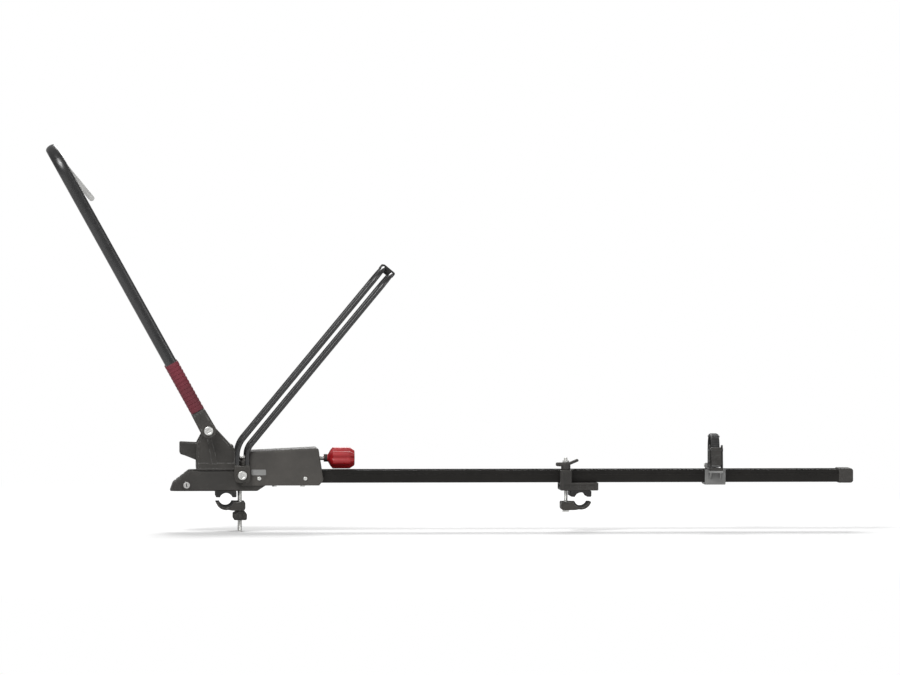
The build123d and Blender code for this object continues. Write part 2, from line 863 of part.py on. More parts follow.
def rod_solid(offset, radius):
    """One rod of the rear hoop, moved sideways in its own plane by the offset."""
    bend = rod_bend + Vector(offset, 0, -offset * tan(radians(turn / 2)))
    tip = rod_bend + along_slope * slope_length + across_slope * offset
    start = Vector(rear_pivot_x + offset, 0, rod_start)
    left = Vector(0, rod_leg_y, 0)
    corners = [start - left, bend - left, tip - left, tip + left, bend + left, start + left]
    bend_radius = rod_bend_radius - offset
    radii = [bend_radius, rod_corner, rod_corner, bend_radius]
    path = FilletPolyline(*[tuple(corner) for corner in corners], radius=radii)
    plane = Plane(origin=start - left, z_dir=(0, 0, 1))
    return sweep(plane * Circle(radius), path=path)


def make_rear_rods():
    return [rod_solid(offset, rod_radius) for offset in (-rod_apart / 2, rod_apart / 2)]


def make_rear_feet():
    foot = block(rear_pivot_x - rear_foot_half, rear_pivot_x + rear_foot_half, rear_foot_inner,
                 rear_foot_outer, rear_foot_bottom, rear_foot_top)
    foot = fillet(edges_along(foot, Axis.Y), rear_foot_edge)
    foot -= rod_y(rear_pivot_x, rear_foot_inner - overrun, rear_foot_outer + overrun,
                  rear_pivot_z, rear_pin_radius + run_gap)
    for offset in (-rod_apart / 2, rod_apart / 2):
        foot -= rod_z(rear_pivot_x + offset, rod_leg_y, rod_start, rear_foot_top + overrun,
                      rod_radius + run_gap)
    return both_sides(foot)


def make_rear_pins():
    low = base_half_width - rear_pin_root
    head = rear_foot_outer + slide_gap
    pin = rod_y(rear_pivot_x, low, head, rear_pivot_z, rear_pin_radius)
    pin += rod_y(rear_pivot_x, head, head + pin_head_thick, rear_pivot_z, pin_head_radius)
    hexagon = Plane.XZ * RegularPolygon(pin_hex, 6)
    socket = extrude(hexagon, pin_hex_depth + overrun)
    pin -= Pos(rear_pivot_x, head + pin_head_thick + overrun, rear_pivot_z) * socket
    return both_sides(pin)


def make_rear_pad():
    """A cap round both rods where they cross over the wheel."""
    tip = rod_bend + along_slope * slope_length
    plane = Plane(origin=tip, x_dir=(0, 1, 0), z_dir=tuple(along_slope))
    body = plane * Box(2 * rear_pad_half, rear_pad_depth, rear_pad_thick)
    body = fillet(body.edges(), rear_pad_edge)
    for offset in (-rod_apart / 2, rod_apart / 2):
        body -= rod_solid(offset, rod_radius + run_gap)
    return body


# Clamps round the crossbars
def make_bar_pads():
    pads = []
    for side in (-1, 1):
        low, high = sorted((side * pad_inner_y, side * (pad_inner_y + pad_width)))
        pad = block(-pad_half_length, pad_half_length, low, high, pad_skirt, pad_top)
        pads.append(pad - rod_y(0, low - overrun, high + overrun, 0, bar_radius))
    return pads


def hook(low, high, stud_x, stud_y, side):
    """A hook under a bar at X = 0, with a boss on the stud at stud_x. side is 1 towards +X."""
    inner = bar_radius + liner_thick
    outer = inner + claw_wall
    body = rod_y(0, low, high, 0, outer) - rod_y(0, low - overrun, high + overrun, 0, inner)
    body &= block(-outer, outer, low, high, -outer, -liner_lip)
    far = stud_x + side * boss_reach
    near = side * (inner + claw_wall / 2)
    start, stop = sorted((near, far))
    body += block(start, stop, low, high, claw_bottom, -liner_lip)
    return body - rod_z(stud_x, stud_y, claw_bottom - overrun, overrun, stud_radius + slide_gap)


def hook_liner(low, high):
    inner = rod_y(0, low - overrun, high + overrun, 0, bar_radius)
    ring = rod_y(0, low, high, 0, bar_radius + liner_thick) - inner
    reach = bar_radius + liner_thick
    return ring & block(-reach, reach, low, high, -reach, -liner_lip)


def make_front_claw(side):
    low = side * claw_y - claw_width / 2
    return hook(low, low + claw_width, stud_offset, side * claw_y, 1)


def make_front_liner(side):
    low = side * claw_y - claw_width / 2
    return hook_liner(low, low + claw_width)


def make_studs():
    bottom = claw_bottom - claw_travel - hand_knob_height - overrun
    return [rod_z(stud_offset, side * claw_y, bottom, pad_top + stud_root, stud_radius)
            for side in (-1, 1)]


def make_hand_knob(side):
    top = claw_bottom - slide_gap
    bottom = top - hand_knob_height
    waist = hand_knob_radius - hand_knob_lobe_radius
    body = rod_z(stud_offset, side * claw_y, bottom, top, waist + hand_knob_edge)
    for lobe in range(hand_knob_lobes):
        angle = 2 * pi * lobe / hand_knob_lobes
        body += rod_z(stud_offset + waist * cos(angle), side * claw_y + waist * sin(angle),
                      bottom, top, hand_knob_lobe_radius)
    return body - rod_z(stud_offset, side * claw_y, bottom - overrun, top + overrun,
                        stud_radius + run_gap)


# Rear clamp, which slides along the tray
def make_rear_block():
    top = tray_bottom - slide_gap
    body = block(block_front, block_rear, -tray_half, tray_half, pad_top, top)
    body += block(block_front, block_rear, rear_wing_y, -tray_half, pad_top, top)
    body = fillet(edges_along(body, Axis.Z), block_edge)
    body += block(block_front, tower_post_rear, rear_wing_y, -tray_half - saddle_gap - slide_gap,
                  pad_top, deck_height)
    body = fillet(edges_along(body, Axis.Z).group_by(Axis.Z)[-1], block_edge)
    body -= rod_z(rear_stud_x, rear_claw_y, pad_top - overrun, deck_height + overrun,
                  stud_radius + slide_gap)
    body -= rod_z(rear_lock_bolt_x, 0, pad_top - overrun, tray_bottom, tray_bolt_radius)
    body -= rod_z(rear_lock_bolt_x, 0, pad_top - overrun, pad_top + bolt_head_height,
                  bolt_head_radius + slide_gap)
    return body


def make_rear_pad_block():
    low, high = rear_wing_y, tray_half
    pad = block(bar_spacing - pad_half_length, bar_spacing + pad_half_length, low, high,
                pad_skirt, pad_top)
    pad -= rod_y(bar_spacing, low - overrun, high + overrun, 0, bar_radius)
    return pad - rod_z(rear_lock_bolt_x, 0, pad_skirt - overrun, pad_top + overrun,
                       bolt_head_radius + slide_gap)


def make_slot_nut():
    nut = slot_nut(rear_lock_bolt_x, slot_nut_length)
    return nut - rod_z(rear_lock_bolt_x, 0, tray_bottom - overrun, deck_height, tray_bolt_radius)


def make_slot_bolt():
    tip = tray_bottom + tray_wall + slot_height - slot_gap
    return bolt(rear_lock_bolt_x, 0, pad_top + bolt_head_height, tip, tray_bolt_radius)


def make_rear_claw():
    body = hook(rear_wing_y, rear_claw_inner_y, -rear_stud_offset, rear_claw_y, -1)
    return Pos(bar_spacing, 0, 0) * body


def make_rear_claw_liner():
    return Pos(bar_spacing, 0, 0) * hook_liner(rear_wing_y, rear_claw_inner_y)


def make_draw_bolt():
    body = rod_z(rear_stud_x, rear_claw_y, claw_bottom, rear_bolt_top, stud_radius)
    return body + rod_z(rear_stud_x, rear_claw_y, claw_bottom - rear_bolt_head, claw_bottom,
                        rear_bolt_head_radius)


def make_clamp_lever():
    """A hub on the draw bolt with a paddle that rises to the rear."""
    base = deck_height + lever_hub_clear
    hub = rod_z(rear_stud_x, rear_claw_y, base, base + lever_hub_height, lever_hub_radius)
    points = [(lever_front, lever_low), (lever_rear, lever_high - lever_thick),
              (lever_rear, lever_high), (lever_front, lever_low + lever_root_thick)]
    edge = lever_thick / 3
    paddle = slab_y(points, rear_claw_y - lever_half_width, rear_claw_y + lever_half_width,
                    [edge] * len(points))
    body = hub + paddle
    return body - rod_z(rear_stud_x, rear_claw_y, deck_height - overrun, rear_bolt_top + overrun,
                        stud_radius + run_gap)


# Strap for the rear wheel
saddle_front = strap_x - saddle_length / 2
saddle_rear = strap_x + saddle_length / 2


def make_saddle():
    """A channel round the tray's sides and feet, with ears for the strap's pin."""
    inner = tray_half + saddle_gap
    outer = inner + saddle_wall
    low = tray_bottom - saddle_gap
    points = [(-outer, deck_height), (-inner, deck_height), (-inner, low), (inner, low),
              (inner, deck_height), (outer, deck_height), (outer, low - saddle_wall),
              (-outer, low - saddle_wall)]
    body = slab_x(points, saddle_front, saddle_rear)
    ear_half = strap_width / 2 + slide_gap
    for start in (strap_x - ear_half - anchor_ear_thick, strap_x + ear_half):
        body += block(start, start + anchor_ear_thick, inner, anchor_y + anchor_ear / 2,
                      deck_height - anchor_ear, anchor_z)
        body += rod_x(start, start + anchor_ear_thick, anchor_y, anchor_z, anchor_ear / 2)
    body -= rod_x(saddle_front - overrun, saddle_rear + overrun, anchor_y, anchor_z,
                  anchor_pin_radius)
    # Shelf that the buckle stands on
    body += block(strap_x - buckle_width / 2, strap_x + buckle_width / 2, buckle_outer_y, -outer,
                  buckle_foot_z - buckle_web - saddle_wall, buckle_foot_z - buckle_web)
    return body


def make_anchor_pin():
    reach = strap_width / 2 + slide_gap + anchor_ear_thick
    body = rod_x(strap_x - reach, strap_x + reach, anchor_y, anchor_z, anchor_pin_radius)
    for start in (strap_x - reach - anchor_pin_head_thick, strap_x + reach):
        body += rod_x(start, start + anchor_pin_head_thick, anchor_y, anchor_z, anchor_pin_head)
    return body


def strap_ribbon(width, thick):
    """The strap's line from the pin over the rim to the buckle, as a flat ribbon."""
    top = strap_top - strap_thick / 2
    corners = [(anchor_y, anchor_z), (anchor_y, top), (-anchor_y, top), (-anchor_y, strap_tail_z)]
    path = FilletPolyline(*corners, radius=strap_bend)
    ribbon = trace(path, thick)
    return Pos(strap_x - width / 2, 0, 0) * extrude(Plane.YZ * ribbon, width)


def make_strap():
    body = strap_ribbon(strap_width, strap_thick)
    body += rod_x(strap_x - strap_width / 2, strap_x + strap_width / 2, anchor_y, anchor_z,
                  strap_eye_radius)
    low = strap_tail_z + strap_rung_width
    step = (strap_top - strap_bend - low) / strap_rungs
    for rung in range(strap_rungs):
        z = low + step * rung
        body += block(strap_x - strap_width / 3, strap_x + strap_width / 3,
                      -anchor_y - strap_thick / 2 - strap_rung_depth, -anchor_y,
                      z, z + step / 2)
    return body - rod_x(strap_x - strap_width, strap_x + strap_width, anchor_y, anchor_z,
                        anchor_pin_radius + run_gap)


def make_rim_pad():
    """A soft block under the top of the strap."""
    top = strap_top - strap_thick - seat_gap
    body = block(strap_x - rim_pad_width / 2, strap_x + rim_pad_width / 2, -rim_pad_half,
                 rim_pad_half, top - rim_pad_thick, top)
    body = fillet(edges_along(body, Axis.X), rim_pad_thick / 3)
    return body - strap_ribbon(rim_pad_width + overrun, strap_thick + 2 * seat_gap)


def make_buckle():
    """Two cheeks on a foot, open towards the wheel so that the strap lifts out."""
    half = buckle_width / 2
    points = [(buckle_inner_y, buckle_foot_z - buckle_web), (buckle_inner_y, buckle_top_z - buckle_cheek),
              (pivot_y, buckle_top_z), (buckle_outer_y + buckle_web, pivot_z),
              (buckle_outer_y, buckle_foot_z - buckle_web)]
    radii = [0, buckle_edge, buckle_web, buckle_web, 0]
    body = slab_x(points, strap_x - half, strap_x + half, radii)
    inner = half - buckle_cheek
    body -= block(strap_x - inner, strap_x + inner, buckle_outer_y - overrun,
                  buckle_inner_y + overrun, buckle_foot_z, buckle_top_z + overrun)
    for y, z, radius in ((pivot_y, pivot_z, pivot_radius), (tab_y, tab_z, tab_radius)):
        body -= rod_x(strap_x - buckle_width, strap_x + buckle_width, y, z, radius)
    return body


def make_buckle_pins():
    half = buckle_width / 2
    return [rod_x(strap_x - half, strap_x + half, y, z, radius)
            for y, z, radius in ((pivot_y, pivot_z, pivot_radius), (tab_y, tab_z, tab_radius))]


def make_buckle_lever():
    """A handle on the upper pin with a pawl that reaches to the strap's rungs."""
    inner = buckle_width / 2 - buckle_cheek - lever_gap
    knuckle = pawl_reach
    body = rod_x(strap_x - inner, strap_x + inner, pivot_y, pivot_z, knuckle)
    points = [(pivot_y - knuckle, pivot_z), (-buckle_lever_out - buckle_lever_thick, pawl_z),
              (-buckle_lever_out - buckle_lever_thick, buckle_lever_bottom),
              (-buckle_lever_out, buckle_lever_bottom), (-buckle_lever_out, pawl_z),
              (pivot_y, pivot_z - knuckle)]
    body += slab_x(points, strap_x - inner, strap_x + inner)
    return body - rod_x(strap_x - buckle_width, strap_x + buckle_width, pivot_y, pivot_z,
                        pivot_radius + run_gap)


def make_release_tab():
    """A small flap on the lower pin whose edge rests against the rungs."""
    inner = buckle_width / 2 - buckle_cheek - lever_gap
    hub = tab_radius + tab_thick / 2
    body = rod_x(strap_x - inner, strap_x + inner, tab_y, tab_z, hub)
    body += block(strap_x - inner, strap_x + inner, tab_y - hub, tab_y - hub + tab_thick,
                  tab_z - tab_length, tab_z)
    return body - rod_x(strap_x - buckle_width, strap_x + buckle_width, tab_y, tab_z,
                        tab_radius + run_gap)


# Lock in the nose, facing the near side
def make_lock_sleeve():
    face = -base_half_width - lock_proud
    back = -base_half_width + lock_depth
    body = rod_y(lock_x, face, back, lock_z, lock_radius + lock_sleeve_wall)
    return body - rod_y(lock_x, face - overrun, back + overrun, lock_z, lock_radius + run_gap)


def make_lock_core():
    face = -base_half_width - lock_proud
    body = rod_y(lock_x, face, -base_half_width + lock_depth, lock_z, lock_radius)
    return body - block(lock_x - key_slot_width / 2, lock_x + key_slot_width / 2,
                        face - overrun, face + key_slot_depth, lock_z - key_slot_height / 2,
                        lock_z + key_slot_height / 2)


pieces = {
    "tray": make_tray(),
    "tray_end_cap": make_end_cap(),
    "tray_bolts": make_tray_bolts(),
    "tray_slot_nuts": make_tray_nuts(),
    "head_base": make_base(),
    "head_cover": make_cover(),
    "cover_screws": make_cover_screws(),
    "wheel_cradle": make_cradle(),
    "cradle_pad": make_cradle_pad(),
    "cradle_bolts": make_cradle_bolts(),
    "carriage": make_carriage(),
    "carriage_nut": make_carriage_nut(),
    "tension_screw": make_screw(),
    "screw_bush": make_bush(),
    "screw_collars": make_collars(),
    "tension_knob": make_knob(),
    "knob_hub": make_knob_hub(),
    "knob_plug": make_knob_plug(),
    "front_hoop_pins": make_front_pins(),
    "front_hoop_feet": make_hoop_feet(),
    "front_hoop_tube": make_hoop_tube(),
    "front_hoop_sleeves": make_hoop_sleeves(),
    "front_hoop_pad": make_hoop_pad(),
    "tyre_guides": make_tyre_guides(),
    "rear_hoop_pins": make_rear_pins(),
    "rear_hoop_feet": make_rear_feet(),
    "rear_hoop_rods": make_rear_rods(),
    "rear_hoop_pad": make_rear_pad(),
    "front_bar_pads": make_bar_pads(),
    "front_clamp_studs": make_studs(),
    "rear_clamp_block": make_rear_block(),
    "rear_bar_pad": make_rear_pad_block(),
    "rear_slot_nut": make_slot_nut(),
    "rear_slot_bolt": make_slot_bolt(),
    "rear_claw": make_rear_claw(),
    "rear_claw_liner": make_rear_claw_liner(),
    "rear_draw_bolt": make_draw_bolt(),
    "rear_clamp_lever": make_clamp_lever(),
    "strap_saddle": make_saddle(),
    "strap_anchor_pin": make_anchor_pin(),
    "wheel_strap": make_strap(),
    "rim_pad": make_rim_pad(),
    "ratchet_buckle": make_buckle(),
    "buckle_pins": make_buckle_pins(),
    "buckle_lever": make_buckle_lever(),
    "release_tab": make_release_tab(),
    "lock_sleeve": make_lock_sleeve(),
    "lock_core": make_lock_core(),
}
for name, side in (("left", -1), ("right", 1)):
    pieces["front_claw_" + name] = make_front_claw(side)
    pieces["front_claw_liner_" + name] = make_front_liner(side)
    pieces["hand_knob_" + name] = make_hand_knob(side)

for name, piece in pieces.items():
    save(name, piece)
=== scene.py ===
import json
from math import asin, cos, pi, radians, sin, tan

import bmesh
import bpy
import numpy as np
from bpy.props import FloatProperty, FloatVectorProperty, IntProperty, PointerProperty
from bpy.types import Operator, Panel, PropertyGroup
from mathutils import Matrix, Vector


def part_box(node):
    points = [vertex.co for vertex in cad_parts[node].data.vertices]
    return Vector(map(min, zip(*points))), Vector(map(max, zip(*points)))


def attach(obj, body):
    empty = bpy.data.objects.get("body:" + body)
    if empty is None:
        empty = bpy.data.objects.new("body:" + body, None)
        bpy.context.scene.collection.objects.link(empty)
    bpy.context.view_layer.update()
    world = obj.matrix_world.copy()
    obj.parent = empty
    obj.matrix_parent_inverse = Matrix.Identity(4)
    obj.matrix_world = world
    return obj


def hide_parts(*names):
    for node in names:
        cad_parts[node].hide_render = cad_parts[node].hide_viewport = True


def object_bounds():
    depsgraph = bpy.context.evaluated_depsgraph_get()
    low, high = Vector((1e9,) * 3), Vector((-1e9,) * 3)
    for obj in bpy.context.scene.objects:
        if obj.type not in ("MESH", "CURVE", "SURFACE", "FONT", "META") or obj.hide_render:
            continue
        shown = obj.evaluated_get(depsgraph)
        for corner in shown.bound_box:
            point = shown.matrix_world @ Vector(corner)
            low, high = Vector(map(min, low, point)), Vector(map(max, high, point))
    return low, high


bl_info = {
    "name": "Roof bike carrier",
    "version": (1, 0, 0),
    "blender": (4, 5, 0),
    "location": "3D View > Sidebar > Carrier",
    "description": "Builds the looks of a roof carrier for one bicycle round its solids",
    "category": "Object",
}

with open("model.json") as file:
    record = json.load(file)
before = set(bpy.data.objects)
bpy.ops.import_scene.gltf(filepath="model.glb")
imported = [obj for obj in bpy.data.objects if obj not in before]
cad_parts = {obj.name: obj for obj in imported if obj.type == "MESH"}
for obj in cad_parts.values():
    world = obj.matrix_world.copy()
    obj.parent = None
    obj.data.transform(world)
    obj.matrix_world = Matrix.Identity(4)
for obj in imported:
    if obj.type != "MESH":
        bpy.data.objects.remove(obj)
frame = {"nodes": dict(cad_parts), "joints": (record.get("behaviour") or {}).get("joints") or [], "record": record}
cad_low, cad_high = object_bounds()
record = frame["record"]
body_of_node = {n: body for body, names in record["behaviour"]["bodies"].items() for n in names}
slot_of_node = {part["node"]: part["material_slot"] for part in record["subparts"]}
joint_place = {j["name"]: np.array(j["pos_m"]) for j in frame["joints"] if "pos_m" in j}

# All sizes are metres in the frame's axes: X to the rear, Y across, Z up
X, Y, Z = np.eye(3)
ORIGIN = np.zeros(3)
WELD = 1e-6  # points closer than this are merged
OVER = 0.01  # how far a cutter stands out of the face that it cuts
SIDES = (-1, 1)


def low(node, axis):
    """Lowest place of a construction node along an axis, 0 to 2."""
    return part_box(node)[0][axis]


def high(node, axis):
    """Highest place of a construction node along an axis, 0 to 2."""
    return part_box(node)[1][axis]


def middle(node):
    """The middle of a construction node's box."""
    return np.mean(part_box(node), axis=0)


def half_size(node, axis):
    """Half the size of a construction node along an axis."""
    return (high(node, axis) - low(node, axis)) / 2


# Places taken from the construction model
deck = high("tray", 2)
tray_floor = deck - 0.013
tray_half = high("tray", 1)
base_half = high("head_base", 1)
cover_half = high("head_cover", 1)
screw_z = joint_place["knob_turn"][2]
hoop_pivot = joint_place["front_hoop_fold"]
rear_pivot = joint_place["rear_hoop_fold"]
strap_x = joint_place["strap_open"][0]
bar_x = middle("rear_claw_liner")[0]
screw_line = np.array((0, 0, screw_z))
clamp_axis = joint_place["rear_lever_turn"] * (1, 1, 0)
lever_pin, tab_pin = joint_place["buckle_lever_lift"], joint_place["release_tab_lift"]

# Directions of the two hoops, along their legs and square to them
hoop_lean = radians(61)
hoop_along = np.array((-cos(hoop_lean), 0, sin(hoop_lean)))
hoop_out = np.array((sin(hoop_lean), 0, cos(hoop_lean)))
rod_slope = radians(50.4)
rod_along = np.array((cos(rod_slope), 0, sin(rod_slope)))
rod_across = np.array((sin(rod_slope), 0, -cos(rod_slope)))

# Planes that outlines are drawn in: origin, first axis, second axis, direction of thickness
FACING_X = (ORIGIN, Y, Z, X)
FACING_Y = (ORIGIN, X, Z, Y)
FACING_Z = (ORIGIN, X, Y, Z)
HOOP_SIDE = (hoop_pivot, hoop_along, hoop_out, Y)
HOOP_FACE = (hoop_pivot, Y, hoop_along, hoop_out)


# Settings that a user may change
class TrayShape(PropertyGroup):
    lip: FloatProperty(name="Lip", description="How far the top lips stand inwards", default=0.0007,
                       unit="LENGTH")
    ribs: IntProperty(name="Floor ribs", description="Ribs on each half of the channel's floor",
                      default=3)
    rib_height: FloatProperty(name="Rib height", description="Height of a floor rib",
                              default=0.0005, unit="LENGTH")
    groove: FloatProperty(name="Side groove", description="Depth of the groove along each side",
                          default=0.0006, unit="LENGTH")


class HeadShape(PropertyGroup):
    wall: FloatProperty(name="Cover wall", description="Thickness of the cover", default=0.0027,
                        unit="LENGTH")
    cover_round: FloatProperty(name="Cover rounding", default=0.005, unit="LENGTH",
                               description="Radius of the cover's long edges")
    base_round: FloatProperty(name="Base rounding", description="Radius of the base's edges",
                              default=0.0035, unit="LENGTH")
    nose_grooves: IntProperty(name="Nose grooves", description="Grooves across the sloping nose",
                              default=3)
    groove_depth: FloatProperty(name="Groove depth", description="Depth of a groove in the plastic",
                                default=0.0009, unit="LENGTH")


class HoopShape(PropertyGroup):
    sleeve_ribs: IntProperty(name="Sleeve ribs", description="Grip ribs on each sleeve", default=12)
    rib_depth: FloatProperty(name="Rib depth", description="Depth of the grooves between grip ribs",
                             default=0.0009, unit="LENGTH")
    foot_round: FloatProperty(name="Foot rounding", description="Radius of the feet's rims",
                              default=0.0025, unit="LENGTH")


class KnobShape(PropertyGroup):
    flutes: IntProperty(name="Flutes", description="Finger flutes round the red knob", default=7)
    flute_depth: FloatProperty(name="Flute depth", description="Depth of a finger flute",
                               default=0.0034, unit="LENGTH")
    lobes: IntProperty(name="Lobes", description="Lobes round each hand knob under the bar",
                       default=6)


class StrapShape(PropertyGroup):
    rungs: IntProperty(name="Rungs", description="Ladder rungs along the strap", default=40)
    rung_height: FloatProperty(name="Rung height", description="How far a rung stands proud",
                               default=0.0009, unit="LENGTH")


class FinishLooks(PropertyGroup):
    tray: FloatVectorProperty(name="Tray", description="Anodised tray", subtype="COLOR",
                              default=(0.0115, 0.0105, 0.0092))
    plastic: FloatVectorProperty(name="Plastic", description="Moulded base and small parts",
                                 subtype="COLOR", default=(0.0255, 0.0232, 0.0202))
    cover: FloatVectorProperty(name="Cover", description="Moulded head cover", subtype="COLOR",
                               default=(0.0455, 0.0415, 0.0365))
    hoop: FloatVectorProperty(name="Hoops", description="Powder coated tubes and rods",
                              subtype="COLOR", default=(0.011, 0.011, 0.0115))
    cast: FloatVectorProperty(name="Castings", description="Coated castings", subtype="COLOR",
                              default=(0.0345, 0.0315, 0.0275))
    knob: FloatVectorProperty(name="Knob", description="Red tension knob", subtype="COLOR",
                              default=(0.33, 0.006, 0.010))
    sleeve: FloatVectorProperty(name="Sleeves", description="Grip sleeves of the front hoop",
                                subtype="COLOR", default=(0.115, 0.008, 0.018))
    rubber: FloatVectorProperty(name="Rubber", description="Pads that touch tyres and bars",
                                subtype="COLOR", default=(0.014, 0.0138, 0.0135))
    guide: FloatVectorProperty(name="Guides", description="Tyre guides", subtype="COLOR",
                               default=(0.36, 0.36, 0.35))
    steel: FloatVectorProperty(name="Steel", description="Zinc plated fasteners", subtype="COLOR",
                               default=(0.62, 0.62, 0.60))
    brass: FloatVectorProperty(name="Brass", description="Nut and bush", subtype="COLOR",
                               default=(0.62, 0.45, 0.18))
    saddle: FloatVectorProperty(name="Saddle", description="Strap saddle and release tab",
                                subtype="COLOR", default=(0.21, 0.21, 0.205))
    wear: FloatProperty(name="Wear", description="How much the edges are rubbed", default=0.5,
                        subtype="FACTOR")
    dust: FloatProperty(name="Dust", description="How much dust lies on upward faces", default=0.22,
                        subtype="FACTOR")


class StageLooks(PropertyGroup):
    azimuth: FloatProperty(name="Azimuth", description="Direction the camera stands in",
                           default=radians(-3), subtype="ANGLE")
    elevation: FloatProperty(name="Elevation", description="Height of the camera as an angle",
                             default=radians(1), subtype="ANGLE")
    distance: FloatProperty(name="Distance", description="From the camera to the carrier",
                            default=16, unit="LENGTH")
    lens: FloatProperty(name="Lens", description="Focal length in millimetres", default=300,
                        unit="CAMERA")
    ground: FloatVectorProperty(name="Floor", description="Colour of the floor", subtype="COLOR",
                                default=(0.80, 0.80, 0.80))
    backdrop: FloatProperty(name="Backdrop", description="Brightness that the camera sees behind",
                            default=1.0, min=0)
    sky: FloatProperty(name="Sky", description="Brightness of the light from all round",
                       default=0.36, min=0)


SETTINGS = {"tray": TrayShape, "head": HeadShape, "hoop": HoopShape, "knob": KnobShape,
            "strap": StrapShape, "finish": FinishLooks, "stage": StageLooks}


def settings(group):
    """The scene's values of one group of settings."""
    return getattr(bpy.context.scene, "carrier_" + group)


# Surfaces as numpy arrays: each function gives points and faces
def unit(vector):
    """Vectors at length one."""
    return vector / np.linalg.norm(vector, axis=-1, keepdims=True)


def rounded(points, radii, closed=True, steps=6):
    """Corner points joined by straight lines, each corner an arc of its radius in plane or space.

    The arc's centre lies on the corner's bisector at radius / sin(half the corner's angle), and the
    arc turns evenly from one side's foot point to the other's."""
    points = np.asarray(points, float)
    count = len(points)
    runs = []
    for place, radius in enumerate(np.broadcast_to(radii, count)):
        corner = points[place]
        if radius <= 0 or (not closed and place in (0, count - 1)):
            runs.append(corner[None])
            continue
        back = unit(points[place - 1] - corner)
        ahead = unit(points[(place + 1) % count] - corner)
        half = np.arccos(np.clip(back @ ahead, -1, 1)) / 2
        centre = corner + unit(back + ahead) * radius / sin(half)
        start = corner + back * radius / tan(half) - centre
        stop = corner + ahead * radius / tan(half) - centre
        whole = pi - 2 * half
        t = np.linspace(0, whole, steps + 1)[:, None]
        runs.append(centre + (np.sin(whole - t) * start + np.sin(t) * stop) / sin(whole))
    return np.concatenate(runs)


def box_outline(u0, u1, v0, v1, radius, steps=6):
    """A rectangle with equal round corners."""
    return rounded([(u0, v0), (u1, v0), (u1, v1), (u0, v1)], radius, steps=steps)


def leftwards(loop):
    """The outline in counterclockwise order, by the sign of its area."""
    ahead = np.roll(loop, -1, 0)
    area = (loop[:, 0] * ahead[:, 1] - ahead[:, 0] * loop[:, 1]).sum()
    return loop if area > 0 else loop[::-1]


def inset(loop, distance):
    """A counterclockwise outline moved inwards, each point along the mitre of its two sides."""
    edge = unit(np.roll(loop, -1, 0) - loop)
    normal = np.stack([-edge[:, 1], edge[:, 0]], 1)
    before = np.roll(normal, 1, 0)
    share = np.maximum(1 + (normal * before).sum(1), 0.4)
    return loop + distance * (normal + before) / share[:, None]


def lifted(plane, loop, height):
    """An outline of a plane placed in space at a height over it."""
    origin, u, v, w = plane
    return origin + loop[:, :1] * u + loop[:, 1:2] * v + np.reshape(height, (-1, 1)) * w


def quads(index, around):
    """Faces between neighbouring rows of point numbers; around closes each row."""
    if around:
        index = np.concatenate([index, index[:, :1]], 1)
    return np.stack([index[:-1, :-1], index[:-1, 1:], index[1:, 1:], index[1:, :-1]],
                    -1).reshape(-1, 4).tolist()


def stack(rings, endless=False):
    """A wall through rings of equal length, with a face over each end, or joined end to end."""
    rings = np.asarray(rings)
    index = np.arange(rings.shape[0] * rings.shape[1]).reshape(rings.shape[:2])
    if endless:
        index = np.concatenate([index, index[:1]], 0)
    faces = quads(index, True)
    if not endless:
        faces += [index[0, ::-1].tolist(), index[-1].tolist()]
    return rings.reshape(-1, 3), faces


def together(*surfaces):
    """Several surfaces as one."""
    points, faces, start = [], [], 0
    for verts, polygons in surfaces:
        points.append(verts)
        faces += [[start + corner for corner in polygon] for polygon in polygons]
        start += len(verts)
    return np.concatenate(points), faces


def arc(radius, start, stop, count=25):
    """Points of a circle from one angle to another."""
    angle = np.linspace(start, stop, count)
    return np.stack([radius * np.cos(angle), radius * np.sin(angle)], 1)


def whole_turn(count):
    """Even angles once round."""
    return np.linspace(0, 2 * pi, count, endpoint=False)


def rim_arc(rim, steps):
    """Inset rim (1 - sin t) and rise rim (1 - cos t) over a quarter turn."""
    t = np.linspace(0, pi / 2, steps + 1)
    return list(zip(rim * (1 - np.sin(t)), rim * (1 - np.cos(t))))


def walls(start, stop, rim, steps):
    """Height and inset of each ring of a wall from start to stop that is rounded at both rims."""
    quarter = rim_arc(rim, steps)
    return ([(start + rise, inward) for inward, rise in quarter]
            + [(stop - rise, inward) for inward, rise in reversed(quarter)])


def plate(plane, loop, start, stop, rim=0.001, steps=3):
    """An outline made thick from start to stop, with both rims rounded."""
    loop = leftwards(np.asarray(loop, float))
    return stack([lifted(plane, inset(loop, inward), height)
                  for height, inward in walls(start, stop, rim, steps)])


def frame_plate(plane, outer, inner, start, stop, rim=0.001, steps=2):
    """A plate with a window: outer and inner outline of equal length, all four rims rounded."""
    outer, inner = leftwards(outer), leftwards(inner)
    wall = walls(start, stop, rim, steps)
    rings = [lifted(plane, inset(outer, inward), height) for height, inward in wall]
    rings += [lifted(plane, inset(inner, -inward), height) for height, inward in reversed(wall)]
    return stack(rings, endless=True)


def sweep(path, section, reference, sizes=None):
    """A closed section carried along a path. Its first axis stays nearest the reference direction.

    The first axis is the reference less its share along the path, the second their product."""
    along = unit(np.gradient(path, axis=0))
    first = unit(reference - (along @ reference)[:, None] * along)
    second = np.cross(along, first)
    sizes = np.ones((len(path), 2)) if sizes is None else sizes
    rings = (path[:, None] + (section[None, :, :1] * sizes[:, None, :1]) * first[:, None]
             + (section[None, :, 1:] * sizes[:, None, 1:]) * second[:, None])
    return stack(rings)


def oval(width, depth, count=40):
    """An ellipse of two half axes."""
    angle = whole_turn(count)
    return np.stack([width * np.cos(angle), depth * np.sin(angle)], 1)


